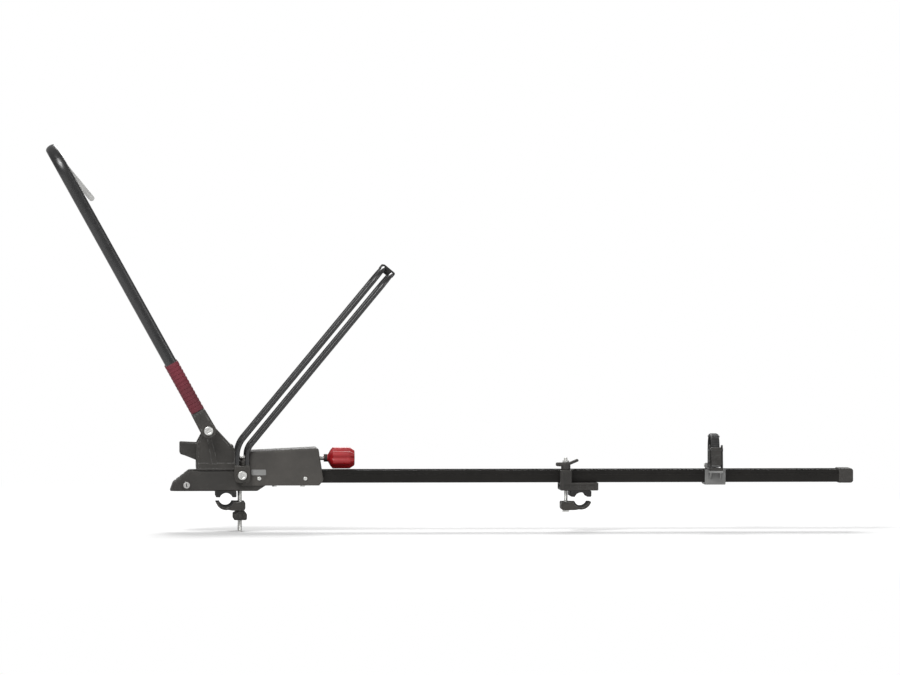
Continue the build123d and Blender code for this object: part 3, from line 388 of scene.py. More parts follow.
def turned(origin, axis, profile, count=36, endless=False):
    """A profile of (height, radius) turned about an axis. A radius may be an array over angles."""
    side = unit(np.cross(axis, Z if abs(axis[2]) < 0.5 else X))
    other = np.cross(axis, side)
    angle = whole_turn(count)
    circle = np.cos(angle)[:, None] * side + np.sin(angle)[:, None] * other
    rings = [origin + height * axis + np.broadcast_to(radius, count)[:, None] * circle
             for height, radius in profile]
    return stack(rings, endless)


def disc(origin, axis, radius, start, stop, rim=0.0005):
    """A short cylinder with both rims rounded."""
    return turned(origin, axis, [(height, radius - inward)
                                 for height, inward in walls(start, stop, rim, 3)])


def bushing(origin, axis, radius, bore, start, stop, rim=0.0005):
    """A ring with a bore, its outer rims rounded."""
    outside = [(height, radius - inward) for height, inward in walls(start, stop, rim, 2)]
    return turned(origin, axis, outside + [(stop, bore), (start, bore)], endless=True)


def hexagon(key, count=36):
    """Radii of a hexagon: half its width over cos of the angle from the nearest flat's middle."""
    return key / np.cos((whole_turn(count) + pi / 6) % (pi / 3) - pi / 6)


def socket_head(origin, axis, radius, start, stop, key, depth, rim=0.0012):
    """A bolt's round head with a hexagon socket that has a small lead-in."""
    profile = [(start, radius)]
    profile += [(stop - rise, radius - inward) for inward, rise in reversed(rim_arc(rim, 4))]
    profile += [(stop, key * 1.25), (stop - key * 0.12, hexagon(key)), (stop - depth, hexagon(key))]
    return turned(origin, axis, profile)


def hexagon_bar(origin, axis, key, start, stop, rim=0.0006):
    """A hexagonal nut or head with rounded rims."""
    return turned(origin, axis, [(height, hexagon(key) - inward)
                                 for height, inward in walls(start, stop, rim, 2)])


def thread(origin, axis, radius, start, stop, pitch, depth, count=24):
    """A screw: the radius falls by depth times a triangle wave of height / pitch less the turn."""
    heights = np.linspace(start, stop, int((stop - start) / pitch * 6) + 1)
    phase = (heights[:, None] / pitch - whole_turn(count) / (2 * pi)) % 1
    fall = depth * (1 - np.abs(2 * phase - 1))
    ends = np.minimum(heights - start, stop - heights)[:, None] < pitch / 2
    return turned(origin, axis, list(zip(heights, radius - np.where(ends, depth, fall))), count)


def clamp_thread(x, y, start, stop):
    """An upright stud of the bar clamps, 8 mm thick."""
    return thread(np.array((x, y, 0)), Z, 0.004, start, stop, 0.0014, 0.0005, 20)


def beside(side, near, far):
    """The range between two distances from a middle, on the side of the sign."""
    return sorted((side * near, side * far))


def side_ranges(near, far):
    """The ranges between a near and a far distance on both sides of a middle."""
    return [beside(side, near, far) for side in SIDES]


def along_x(stations, section):
    """Rings of (Y, Z) points set at stations along X."""
    places = np.broadcast_to(stations[:, None, None], (*section.shape[:2], 1))
    return np.concatenate([places, section], -1)


# Objects
def settle(mesh, crease=38):
    """Points that meet are merged, faces turned outwards, edges sharper than the crease kept."""
    work = bmesh.new()
    work.from_mesh(mesh)
    bmesh.ops.remove_doubles(work, verts=work.verts, dist=WELD)
    bmesh.ops.dissolve_degenerate(work, edges=work.edges, dist=WELD)
    bmesh.ops.recalc_face_normals(work, faces=work.faces)
    work.to_mesh(mesh)
    work.free()
    mesh.shade_smooth()
    mesh.set_sharp_from_angle(angle=radians(crease))


def new_object(name, surface, crease=38):
    """A mesh object at the origin from points and faces."""
    points, faces = surface
    mesh = bpy.data.meshes.new(name)
    mesh.from_pydata(points.tolist(), [], faces)
    settle(mesh, crease)
    made = bpy.data.objects.new(name, mesh)
    bpy.context.scene.collection.objects.link(made)
    return made


def piece(name, surface, node, crease=38, replaces=True):
    """A new piece that rides with a construction node's body, in its finish, and stands for it."""
    made = new_object(name, surface, crease)
    weigh_normals(made)
    return join_frame(made, node, replaces)


def join_frame(made, node, replaces=True):
    """Gives a piece the body and finish of a construction node, which it then stands for."""
    made.data.materials.clear()
    made.data.materials.append(finish(slot_of_node[node]))
    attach(made, body_of_node[node])
    if replaces:
        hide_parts(node)
    return made


def refinish(made, slot):
    """Gives a piece a finish of its own."""
    made.data.materials.clear()
    made.data.materials.append(finish(slot))


def evaluated_mesh(made):
    """The object's mesh with its modifiers applied."""
    bpy.context.view_layer.update()
    graph = bpy.context.evaluated_depsgraph_get()
    return bpy.data.meshes.new_from_object(made.evaluated_get(graph))


def apply_modifiers(made):
    """Puts the modified mesh in place of the old one."""
    result = evaluated_mesh(made)
    made.modifiers.clear()
    old, made.data = made.data, result
    bpy.data.meshes.remove(old)


def weigh_normals(made):
    """Lets large faces lead the shading, so that flat ends stay flat beside their round rims."""
    weighted = made.modifiers.new("shading", "WEIGHTED_NORMAL")
    weighted.keep_sharp = True
    apply_modifiers(made)


def cut_away(made, *cutters):
    """Takes closed surfaces that don't meet each other away from an object."""
    tool = new_object("cutter", together(*cutters))
    boolean = made.modifiers.new("cut", "BOOLEAN")
    boolean.object, boolean.operation, boolean.solver = tool, "DIFFERENCE", "EXACT"
    apply_modifiers(made)
    bpy.data.objects.remove(tool)
    settle(made.data)
    weigh_normals(made)


# Material building blocks
def add(tree, kind, links=None, **values):
    """A shader node with its settings, and its sockets linked or set."""
    made = tree.nodes.new("ShaderNode" + kind)
    for key, value in values.items():
        setattr(made, key, value)
    for socket, value in (links or {}).items():
        if isinstance(value, bpy.types.NodeSocket):
            tree.links.new(value, made.inputs[socket])
        else:
            made.inputs[socket].default_value = value
    return made


def maths(tree, operation, first, second):
    """The result of one sum."""
    return add(tree, "Math", {0: first, 1: second}, operation=operation).outputs[0]


def product(tree, *factors):
    """Two or more values multiplied, from the first on."""
    result = factors[0]
    for factor in factors[1:]:
        result = maths(tree, "MULTIPLY", result, factor)
    return result


def noise(tree, vector, scale, detail, **more):
    """Smooth noise: its vector, its scale, how many finer layers it has, and other sockets."""
    return add(tree, "TexNoise", {"Vector": vector, "Scale": scale, "Detail": detail,
                                  **more}).outputs[0]


def ranged(tree, value, low_in, high_in, low_out=0.0, high_out=1.0):
    """A value brought from one range to another, with smooth ends."""
    made = add(tree, "MapRange", {"Value": value, "From Min": low_in, "From Max": high_in,
                                  "To Min": low_out, "To Max": high_out},
               interpolation_type="SMOOTHSTEP")
    return made.outputs["Result"]


def mixed(tree, share, first, second):
    """Two colours mixed by a share."""
    made = add(tree, "Mix", {0: share, 6: first, 7: second}, data_type="RGBA")
    return made.outputs[2]


def colour(values):
    """A colour with its fourth number."""
    return (*values, 1.0)


def new_group(name, inputs, outputs):
    """An empty node group with its sockets."""
    tree = bpy.data.node_groups.new(name, "ShaderNodeTree")
    for label, kind, default in inputs:
        socket = tree.interface.new_socket(label, in_out="INPUT", socket_type="NodeSocket" + kind)
        if default is not None:
            socket.default_value = default
    for label, kind in outputs:
        tree.interface.new_socket(label, in_out="OUTPUT", socket_type="NodeSocket" + kind)
    return tree, tree.nodes.new("NodeGroupInput").outputs, tree.nodes.new("NodeGroupOutput").inputs


def group_edge_wear():
    """Rubbed edges: where the rounded normal leaves the face's own, broken up by noise."""
    tree, given, wanted = new_group(
        "edge_wear", [("Vector", "Vector", None), ("Radius", "Float", 0.001),
                      ("Amount", "Float", 0.5), ("Scale", "Float", 120.0)], [("Mask", "Float")])
    round_normal = add(tree, "Bevel", {"Radius": given["Radius"]}, samples=4).outputs[0]
    flat_normal = add(tree, "NewGeometry").outputs["Normal"]
    dot = add(tree, "VectorMath", {0: round_normal, 1: flat_normal}, operation="DOT_PRODUCT")
    edge = ranged(tree, dot.outputs["Value"], 0.998, 0.92)
    spots = noise(tree, given["Vector"], given["Scale"], 6.0, Roughness=0.7)
    patches = ranged(tree, spots, 0.42, 0.66)
    tree.links.new(product(tree, edge, patches, given["Amount"]), wanted["Mask"])
    return tree


def group_grain():
    """Moulded or sprayed grain: fine cells and finer noise as a height, and its cell value."""
    tree, given, wanted = new_group(
        "grain", [("Vector", "Vector", None), ("Scale", "Float", 900.0), ("Cells", "Float", 0.6)],
        [("Height", "Float"), ("Value", "Float")])
    cells = add(tree, "TexVoronoi", {"Vector": given["Vector"], "Scale": given["Scale"]},
                feature="SMOOTH_F1").outputs["Distance"]
    fine = noise(tree, given["Vector"], product(tree, given["Scale"], 1.7), 3.0)
    cell_part = product(tree, cells, given["Cells"])
    fine_part = product(tree, fine, maths(tree, "SUBTRACT", 1.0, given["Cells"]))
    tree.links.new(maths(tree, "ADD", cell_part, fine_part), wanted["Height"])
    tree.links.new(cells, wanted["Value"])
    return tree


def group_dust():
    """Dust: the upward share of the normal times two sizes of noise."""
    tree, given, wanted = new_group(
        "dust", [("Vector", "Vector", None), ("Amount", "Float", 0.3)], [("Mask", "Float")])
    normal = add(tree, "TexCoord").outputs["Normal"]
    upward = add(tree, "SeparateXYZ", {0: normal}).outputs["Z"]
    facing = ranged(tree, upward, 0.1, 0.95)
    broad = noise(tree, given["Vector"], 26.0, 5.0)
    specks = noise(tree, given["Vector"], 1500.0, 2.0)
    spread = product(tree, ranged(tree, broad, 0.3, 0.75), ranged(tree, specks, 0.35, 0.7))
    tree.links.new(product(tree, facing, spread, given["Amount"]), wanted["Mask"])
    return tree


def group_brushed():
    """Drawn or turned lines: noise stretched by different scales along the three axes."""
    tree, given, wanted = new_group(
        "brushed", [("Vector", "Vector", None), ("Stretch", "Vector", (3.0, 900.0, 900.0))],
        [("Height", "Float"), ("Value", "Float")])
    stretched = add(tree, "VectorMath", {0: given["Vector"], 1: given["Stretch"]},
                    operation="MULTIPLY").outputs[0]
    lines = noise(tree, stretched, 1.0, 4.0, Roughness=0.65)
    tree.links.new(lines, wanted["Height"])
    tree.links.new(ranged(tree, lines, 0.35, 0.65), wanted["Value"])
    return tree


def group_clouds():
    """Slow change of tone and gloss, with smears where hands and rain have been."""
    tree, given, wanted = new_group(
        "clouds", [("Vector", "Vector", None), ("Scale", "Float", 14.0)],
        [("Tone", "Float"), ("Smears", "Float")])
    broad = noise(tree, given["Vector"], given["Scale"], 4.0)
    bent = noise(tree, given["Vector"], product(tree, given["Scale"], 3.0), 3.0, Distortion=1.6)
    tree.links.new(ranged(tree, broad, 0.3, 0.7), wanted["Tone"])
    tree.links.new(ranged(tree, bent, 0.5, 0.72), wanted["Smears"])
    return tree


GROUP_MAKERS = {"edge_wear": group_edge_wear, "grain": group_grain, "dust": group_dust,
                "brushed": group_brushed, "clouds": group_clouds}


def effect(tree, name, links):
    """One of the shared effects, placed in a material."""
    group = bpy.data.node_groups.get(name) or GROUP_MAKERS[name]()
    return add(tree, "Group", links, node_tree=group).outputs


def empty_material(name):
    """A material without nodes, and its tree."""
    material = bpy.data.materials.new(name)
    material.use_nodes = True
    material.node_tree.nodes.clear()
    return material, material.node_tree


# Each finish: its colour setting, metal, roughness low and high, grain scale, depth and cell share,
# the colour and amount of its rubbed edges, its share of dust, and how it is drawn or turned
LINES_ALONG = (2.5, 1100.0, 1100.0)
LINES_TURNED = (900.0, 60.0, 900.0)
BARE_METAL = (0.42, 0.42, 0.41)
GREY_SCUFF = (0.12, 0.12, 0.118)
FINISHES = {
    "tray_black": dict(tint="tray", metal=0.6, rough=(0.28, 0.46), grain=2600, depth=0.00006,
                       cells=0.2, scuff=BARE_METAL, wear=0.1, dust=0.6, lines=LINES_ALONG),
    "base_black": dict(tint="plastic", metal=0.0, rough=(0.42, 0.68), grain=1600, depth=0.00042,
                       cells=0.75, scuff=GREY_SCUFF, wear=0.8, dust=1.0),
    "cover_grey": dict(tint="cover", metal=0.0, rough=(0.38, 0.60), grain=1700, depth=0.00040,
                       cells=0.8, scuff=(0.16, 0.155, 0.15), wear=0.6, dust=0.9),
    "hoop_black": dict(tint="hoop", metal=0.0, rough=(0.18, 0.36), grain=420, depth=0.00018,
                       cells=0.1, scuff=BARE_METAL, wear=0.4, dust=0.5, coat=0.4),
    "cast_black": dict(tint="cast", metal=0.15, rough=(0.34, 0.58), grain=1100, depth=0.00050,
                       cells=0.45, scuff=BARE_METAL, wear=0.8, dust=0.7),
    "knob_red": dict(tint="knob", metal=0.0, rough=(0.24, 0.44), grain=1500, depth=0.00022,
                     cells=0.7, scuff=(0.60, 0.14, 0.15), wear=0.7, dust=0.4, coat=0.1),
    "sleeve_red": dict(tint="sleeve", metal=0.0, rough=(0.42, 0.64), grain=1400, depth=0.00040,
                       cells=0.6, scuff=(0.20, 0.04, 0.05), wear=0.3, dust=0.4),
    "rubber_black": dict(tint="rubber", metal=0.0, rough=(0.62, 0.86), grain=1700, depth=0.00045,
                         cells=0.5, scuff=(0.06, 0.06, 0.058), wear=0.9, dust=1.2),
    "guide_grey": dict(tint="guide", metal=0.0, rough=(0.40, 0.58), grain=1400, depth=0.00035,
                       cells=0.6, scuff=(0.5, 0.5, 0.49), wear=0.5, dust=0.5),
    "bright_steel": dict(tint="steel", metal=1.0, rough=(0.20, 0.44), grain=2200, depth=0.00010,
                         cells=0.3, scuff=(0.80, 0.80, 0.78), wear=0.7, dust=0.3,
                         lines=LINES_TURNED),
    "nut_brass": dict(tint="brass", metal=1.0, rough=(0.24, 0.44), grain=2200, depth=0.00010,
                      cells=0.3, scuff=(0.80, 0.62, 0.30), wear=0.7, dust=0.2,
                      lines=LINES_TURNED),
    "strap_black": dict(tint="rubber", metal=0.0, rough=(0.36, 0.60), grain=1500, depth=0.00028,
                        cells=0.5, scuff=(0.09, 0.09, 0.09), wear=0.7, dust=0.6),
    "saddle_grey": dict(tint="saddle", metal=0.0, rough=(0.42, 0.64), grain=1200, depth=0.00050,
                        cells=0.75, scuff=(0.36, 0.36, 0.35), wear=0.7, dust=0.8),
}
DUST_TINT, DUST_ROUGH = (0.30, 0.285, 0.26), 0.6
WEAR_RADIUS, WEAR_SCALE, WEAR_ROUGH = 0.0016, 140.0, 0.12
CLOUD_SCALE, CLOUD_TONES = 14.0, (0.78, 1.22)
CELL_TONE, CELL_SHARE = 0.6, 0.25
LINE_TONE, LINE_SHARE, LINE_HEIGHT, LINE_GLOSS = 1.5, 0.22, 1.5, 0.6


def finish(slot):
    """The material of one slot, made at its first use."""
    name = slot + "_finish"
    if name in bpy.data.materials:
        return bpy.data.materials[name]
    spec, looks = FINISHES[slot], settings("finish")
    material, tree = empty_material(name)
    place = add(tree, "TexCoord").outputs["Object"]
    tint = getattr(looks, spec["tint"])

    def toned(factor):
        return colour(min(channel * factor, 1) for channel in tint)

    clouds = effect(tree, "clouds", {"Vector": place, "Scale": CLOUD_SCALE})
    grain = effect(tree, "grain", {"Vector": place, "Scale": float(spec["grain"]),
                                   "Cells": spec["cells"]})
    wear = effect(tree, "edge_wear", {"Vector": place, "Radius": WEAR_RADIUS, "Scale": WEAR_SCALE,
                                      "Amount": spec["wear"] * looks.wear})["Mask"]
    dust = effect(tree, "dust", {"Vector": place, "Amount": spec["dust"] * looks.dust})["Mask"]
    base = mixed(tree, clouds["Tone"], *[toned(factor) for factor in CLOUD_TONES])
    base = mixed(tree, product(tree, grain["Value"], CELL_SHARE), base, toned(CELL_TONE))
    height, gloss = grain["Height"], clouds["Smears"]
    if "lines" in spec:
        lines = effect(tree, "brushed", {"Vector": place, "Stretch": spec["lines"]})
        height = maths(tree, "ADD", height, product(tree, lines["Height"], LINE_HEIGHT))
        gloss = product(tree, maths(tree, "ADD", gloss, lines["Value"]), LINE_GLOSS)
        base = mixed(tree, product(tree, lines["Value"], LINE_SHARE), base, toned(LINE_TONE))
    base = mixed(tree, wear, base, colour(spec["scuff"]))
    base = mixed(tree, dust, base, colour(DUST_TINT))
    smooth, dull = spec["rough"]
    rough = ranged(tree, gloss, 0.0, 1.0, dull, smooth)
    for mask, amount in ((dust, DUST_ROUGH), (wear, WEAR_ROUGH)):
        rough = maths(tree, "ADD", rough, product(tree, mask, amount))
    bump = add(tree, "Bump", {"Strength": 0.8, "Distance": spec["depth"], "Height": height})
    shader = add(tree, "BsdfPrincipled", {
        "Base Color": base, "Roughness": rough, "Metallic": spec["metal"],
        "Coat Weight": spec.get("coat", 0.0), "Coat Roughness": 0.25, "Normal": bump.outputs[0]})
    add(tree, "OutputMaterial", {"Surface": shader.outputs[0]})
    return material


# Across a rib or a groove: how far each point stands from its middle, and its share of the depth
RIB_PROFILE = ((-0.0014, 0), (-0.0008, 1), (0.0008, 1), (0.0014, 0))


# Tray: an extrusion with ribs on the channel's floor, a groove along each side and a slot below
tray_wall = 0.0022
slot_half, slot_mouth = 0.009, 0.0045


def make_tray(shape):
    """Half the outline as corners of Y, Z and radius, mirrored and drawn out along X."""
    bottom, foot, inner = low("tray", 2), 0.008, tray_half - tray_wall
    slot_roof, lip_z = bottom + 0.0092, deck - 0.0018
    groove_top, groove_bottom, sunk = deck - 0.0065, deck - 0.0105, tray_half - shape.groove
    ledge, ceiling = bottom + tray_wall, tray_floor - tray_wall
    pitch = inner / (shape.ribs + 1)
    ribs = [(pitch * (rib + 0.75) + reach, tray_floor + rise * shape.rib_height, 0)
            for rib in range(shape.ribs) for reach, rise in RIB_PROFILE]
    channel = [(inner, tray_floor, 0.001), (inner, lip_z - shape.lip, 0),
               (inner - shape.lip, lip_z, 0), (inner - shape.lip, deck, 0.0008)]
    side = [(tray_half, deck, 0.001), (tray_half, groove_top, 0),
            (sunk, groove_top - shape.groove, 0), (sunk, groove_bottom + shape.groove, 0),
            (tray_half, groove_bottom, 0), (tray_half, bottom, 0.0012)]
    under = [(inner - foot, bottom, 0.0004), (inner - foot, ledge, 0.0004), (inner, ledge, 0.0008),
             (inner, ceiling, 0.0008), (slot_half + tray_wall, ceiling, 0.0006)]
    slot = [(slot_half + tray_wall, bottom, 0.0004), (slot_mouth, bottom, 0.0004),
            (slot_mouth, ledge, 0), (slot_half, ledge, 0.0004), (slot_half, slot_roof, 0.0004)]
    corners = np.array(ribs + channel + side + under + slot)
    half = rounded(corners[:, :2], corners[:, 2], closed=False, steps=3)
    outline = np.concatenate([half, (half * (-1, 1))[::-1]])
    piece("tray_extrusion", plate(FACING_X, outline, low("tray", 0), high("tray", 0), 0.0002, 1),
          "tray", crease=30)


def make_end_cap():
    """The cap over the tray's rear end: a pocket round the tray, a seam, a sunk field, a plug."""
    node, tray_end = "tray_end_cap", high("tray", 0)
    stop, half = high(node, 0), high(node, 1)
    bottom, top = low(node, 2), high(node, 2)
    start, play, edge, rear_round, round_share = tray_end - 0.002, 0.00005, 0.0085, 0.006, 0.0044
    seam, seam_depth, bevel, field_bevel = start + 0.006, 0.0005, 0.0006, 0.0005
    pocket = box_outline(-tray_half - play, tray_half + play, low("tray", 2) - play, deck + play,
                         0.0012, 5)
    outer = box_outline(-half, half, bottom, top, 0.0045, 5)
    field = box_outline(-half + edge, half - edge, bottom + edge, top - edge, 0.0022, 5)
    rows = [(pocket, 0, tray_end), (pocket, 0, start), (outer, bevel, start),
            (outer, 0, start + bevel), (outer, 0, seam), (outer, seam_depth, seam + 0.0004),
            (outer, seam_depth, seam + 0.0012), (outer, 0, seam + 0.0016)]
    rows += [(outer, min(inward, round_share), stop - rise)
             for inward, rise in reversed(rim_arc(rear_round, 7))]
    rows += [(field, 0, stop), (field, field_bevel, stop - 0.0008)]
    rings = [lifted(FACING_X, inset(leftwards(loop), inward), place)
             for loop, inward, place in rows]
    gap = 0.0002
    plug = plate(FACING_X, box_outline(tray_wall + gap - tray_half, tray_half - tray_wall - gap,
                                       tray_floor + gap, deck - 0.0022, 0.0015, 3),
                 low(node, 0), tray_end + 0.002, 0.0008)
    piece("end_cap_shell", together(stack(rings), plug), node, crease=42)


# Head base: a body with a sloping nose and a pocket for the tray, and the bulkhead for the screw
def make_base(shape):
    """A section at each station along X: the nose's slope and grooves, then the body with its
    pocket, whose floor steps up behind the front clamp."""
    nose, rear = low("head_base", 0), high("head_base", 0)
    bottom, step_bottom = low("head_base", 2), low("head_cover", 2)
    step_start, step_end, corner_round, tray_start = 0.066, 0.084, 0.016, low("tray", 0) - 0.0002
    top = rounded([(nose, bottom + 0.0015), (-0.112, 0.036), (-0.078, deck), (tray_start, deck)],
                  [0, 0.010, 0.008, 0], closed=False, steps=8)
    groove_places = -0.106 + 0.008 * np.arange(shape.nose_grooves)
    edges, depths = np.array(RIB_PROFILE).T
    stations = np.unique(np.concatenate([
        top[:, 0], nose + corner_round * (1 - np.cos(np.linspace(0, pi / 2, 9))),
        (groove_places[:, None] + edges).ravel()]))
    roof = np.interp(stations, top[:, 0], top[:, 1])
    for place in groove_places:
        roof = roof - shape.groove_depth * np.interp(stations - place, edges, depths)
    stations = np.concatenate([stations, [tray_start, step_start, step_end, rear]])
    roof = np.concatenate([roof, np.full(4, deck)])
    depth = np.where(np.arange(len(stations)) < len(stations) - 4, 0, deck - low("tray", 2))
    floor = np.interp(stations, [step_start, step_end], [bottom, step_bottom])
    reach = np.clip(corner_round - (stations - nose), 0, corner_round)
    half = base_half - corner_round + np.sqrt(corner_round ** 2 - reach ** 2)
    radius = np.minimum(shape.base_round, (roof - floor) / 2.6)
    angle = np.linspace(0, pi / 2, 6)
    pocket = tray_half + 0.0002

    def corner_arc(side, upper):
        turn = angle if upper else angle - pi / 2
        turn = turn if side > 0 else turn[::-1]
        y = side * ((half - radius)[:, None] + radius[:, None] * np.cos(turn))
        centre = (roof - radius)[:, None] if upper else (floor + radius)[:, None]
        return np.stack([y, centre + radius[:, None] * np.sin(turn)], -1)

    notch = np.stack([np.broadcast_to((pocket, pocket, -pocket, -pocket), (len(stations), 4)),
                      roof[:, None] - depth[:, None] * (0, 1, 1, 0)], -1)
    notch[:, :, 0] = np.clip(notch[:, :, 0], -(half - radius)[:, None], (half - radius)[:, None])
    section = np.concatenate([corner_arc(1, False), corner_arc(1, True), notch,
                              corner_arc(-1, True), corner_arc(-1, False)], 1)
    made = piece("head_body", stack(along_x(stations, section)), "head_base", crease=40)
    keel_y, keel_half, keel_start, keel_end, keel_depth = 0.040, 0.0021, -0.0753, 0.0203, 0.008
    cut_away(made, *[plate(FACING_Z, box_outline(keel_start, keel_end, side * keel_y - keel_half,
                                                 side * keel_y + keel_half, 0.002, 3),
                           deck - keel_depth, deck + OVER, 0) for side in SIDES])
    wall_half, wall_top = 0.044, high("head_base", 2)
    bulkhead = plate(FACING_X, box_outline(-wall_half, wall_half, deck - 0.001, wall_top, 0.004),
                     low("screw_bush", 0), high("screw_bush", 0))
    piece("bulkhead", bulkhead, "head_base", replaces=False)


# Head cover: a thin shell, open below, with mouths for the carriage, the tray and the knob
def make_cover(shape):
    """The profile made thick, cut open below, given its wall and cut for mouths, grooves and
    a shallow sunk field on each side that holds a lighter grey plate."""
    front, rear = 0.031, 0.207
    heel, brow = (0.198, low("head_cover", 2)), (0.052, 0.103)
    roof_rear, under = (0.196, 0.110), 0.012
    profile = rounded([(front, heel[1] - under), (front, 0.080), brow, roof_rear, (rear, 0.042),
                       heel, (heel[0], heel[1] - under)],
                      [0, 0.006, 0.006, 0.006, 0.006, 0.003, 0], steps=6)
    block = plate(FACING_Y, profile, -cover_half, cover_half, shape.cover_round, 6)
    made = piece("cover_shell", block, "head_cover")
    work = bmesh.new()
    work.from_mesh(made.data)
    bmesh.ops.bisect_plane(work, geom=[*work.verts, *work.edges, *work.faces],
                           plane_co=(0, 0, heel[1]), plane_no=(0, 0, -1), clear_outer=True)
    work.to_mesh(made.data)
    work.free()
    wall = made.modifiers.new("wall", "SOLIDIFY")
    wall.thickness, wall.offset, wall.use_even_offset = shape.wall, -1, True
    apply_modifiers(made)
    mouth_half, play, neck = 0.040, 0.0003, 0.0083
    mouth = plate(FACING_X, box_outline(-mouth_half, mouth_half, heel[1] - under,
                                        roof_rear[1] + under, 0.001, 2), front - under, brow[0], 0)
    tray_mouth = plate(FACING_X, box_outline(-tray_half - play, tray_half + play, heel[1] - under,
                                             deck + play, 0.0008, 2),
                       heel[0] - under, rear + under, 0)
    neck_hole = turned(screw_line, X, [(heel[0] - under, neck), (rear + under, neck)], 32)
    groove_x = np.array((0.066, 0.184))
    roof = np.interp(groove_x, *zip(brow, roof_rear))
    low_side = np.stack([groove_x, roof - shape.groove_depth], 1)
    high_side = np.stack([groove_x, roof + under], 1)[::-1]
    groove = rounded(np.concatenate([low_side, high_side]), 0.0004, steps=2)
    # On each side a lighter grey plate sits in a shallow sunk field a little below the cover's face
    side_plate, side_plate_depth = leftwards(box_outline(0.053, 0.085, 0.0514, 0.0644, 0.003)), 0.0008
    cutters, plates = [mouth, tray_mouth, neck_hole], []
    for start, stop in side_ranges(0.0288, 0.0312):
        cutters.append(plate(FACING_Y, groove, start, stop, 0))
    for side in SIDES:
        floor = cover_half - side_plate_depth
        cutters.append(plate(FACING_Y, side_plate, *beside(side, floor, cover_half + under), 0))
        plates.append(plate(FACING_Y, inset(side_plate, 0.0004),
                            *beside(side, floor, cover_half - 0.0001), 0.0003))
    cut_away(made, *cutters)
    # The lighter grey side plates take the saddle's grey finish
    side_plates = piece("bare_badge_plates", together(*plates), "head_cover", replaces=False)
    refinish(side_plates, "saddle_grey")


def make_cover_screws():
    """Four dome heads with sockets on the cover's sides."""
    radius, height, key, depth, dome = 0.0045, 0.002, 0.0015, 0.0013, 0.0016
    heads = [socket_head(np.array((x, side * cover_half, 0.045)), side * Y, radius, -height, height,
                         key, depth, dome) for x in (0.070, 0.168) for side in SIDES]
    piece("cover_screw_heads", together(*heads), "cover_screws")


# Front wheel cradle: its trough follows the tyre, a ring with a round section
wheel_centre = np.array((-0.053, 0.478))
tyre_half, ring_radius, pad_thick = 0.036, 0.334, 0.003


def trough(x, y, tube):
    """Height of a ring's lowest surface: the wheel's centre less the root of the ring's reach
    squared less the distance along X squared, where the reach adds the tube's own half chord."""
    reach = ring_radius + np.sqrt(np.maximum(tube ** 2 - y ** 2, 0))
    return wheel_centre[1] - np.sqrt(reach ** 2 - (x - wheel_centre[0]) ** 2)


def soft_least(first, second, blend=0.0008):
    """The lesser of two heights, with the fold between them rounded."""
    return -blend * np.logaddexp(-first / blend, -second / blend)


def make_cradle():
    """A block whose upper side is the lower of its crown and the trough, on a pedestal."""
    front, rear, half = low("wheel_cradle", 0), high("wheel_cradle", 0), high("wheel_cradle", 1)
    edge, trough_tube = 0.003, 0.0396
    ends = np.array(walls(front, rear, edge, 4))
    first, last = ends[:len(ends) // 2], ends[len(ends) // 2:]
    level = np.linspace(front + edge, rear - edge, 44)[1:-1]
    stations, inward = np.concatenate([first, np.stack([level, 0 * level], 1), last]).T
    stations, inward = stations[:, None], inward[:, None]
    chin = np.interp(stations, [front, -0.088, -0.063], [0.097, 0.094, 0.084]) + inward
    crown = np.interp(stations, [front, rear], [0.122, 0.116])
    y = np.linspace(-1, 1, 67) * (half - edge)
    land = soft_least(crown + 0 * y, trough(stations, y, trough_tube)) - inward
    angle, shrink = np.linspace(0, pi / 2, 5)[1:], edge - inward
    right_top = np.stack([half - edge + shrink * np.sin(angle),
                          crown - edge + shrink * np.cos(angle)], -1)
    right_low = np.stack([half - edge + shrink * np.cos(angle),
                          chin + shrink - shrink * np.sin(angle)], -1)
    left_low, left_top = [corner[:, ::-1] * (-1, 1) for corner in (right_low, right_top)]
    top = np.stack([np.broadcast_to(y, land.shape), land], -1)
    section = np.concatenate([top, right_top, right_low, left_low, left_top], 1)
    foot_front, foot_rear, foot_half, foot_top = -0.042, -0.012, 0.028, 0.0845
    foot = box_outline(foot_front, foot_rear, -foot_half, foot_half, 0.003)
    pedestal = plate(FACING_Z, foot, deck, foot_top, 0.0005)
    piece("cradle_shell", together(stack(along_x(stations[:, 0], section)), pedestal),
          "wheel_cradle", crease=45)


def make_cradle_pad():
    """The rubber lining: a sheet between two rings, with grooves across. The sheet's own lines are
    bent to arrows, less so near its ends, and the grooves run along these lines."""
    start, stop, top = low("cradle_pad", 0), high("cradle_pad", 0), high("cradle_pad", 2)
    inner, outer = tyre_half + 0.0002, tyre_half + 0.0002 + pad_thick
    grooves, depth, half_width, slope, arrow, land = 11, 0.0014, 0.16, 0.06, 0.9, 0.93
    share = np.linspace(-1, 1, 49)
    phase = np.linspace(0, grooves, grooves * 10 + 1)[:, None]
    bend = arrow * np.abs(share) * np.clip(np.minimum(phase, grooves - phase) / 2, 0, 1)
    x = start + (stop - start) * (phase - bend) / grooves
    reach = np.sqrt((wheel_centre[1] - top) ** 2 + (x - wheel_centre[0]) ** 2) - ring_radius
    y = share * np.sqrt(inner ** 2 - reach ** 2)
    sunk = np.clip((half_width - np.abs(phase % 1 - 0.5)) / slope, 0, 1) * (np.abs(share) < land)
    face = np.stack([x, y, trough(x, y, inner) - depth * sunk], -1)
    back = np.stack([x, y, trough(x, y, outer)], -1)
    piece("cradle_lining", stack(np.concatenate([face, back[:, ::-1]], 1)), "cradle_pad", crease=35)


# Carriage: a crosspiece with a window, two towers with raised rims, and the tongue with its lug
carriage_front, carriage_floor, tower_rear = low("carriage", 0), deck + 0.0003, 0.022
tower_near, tower_far = 0.044, high("carriage", 1)


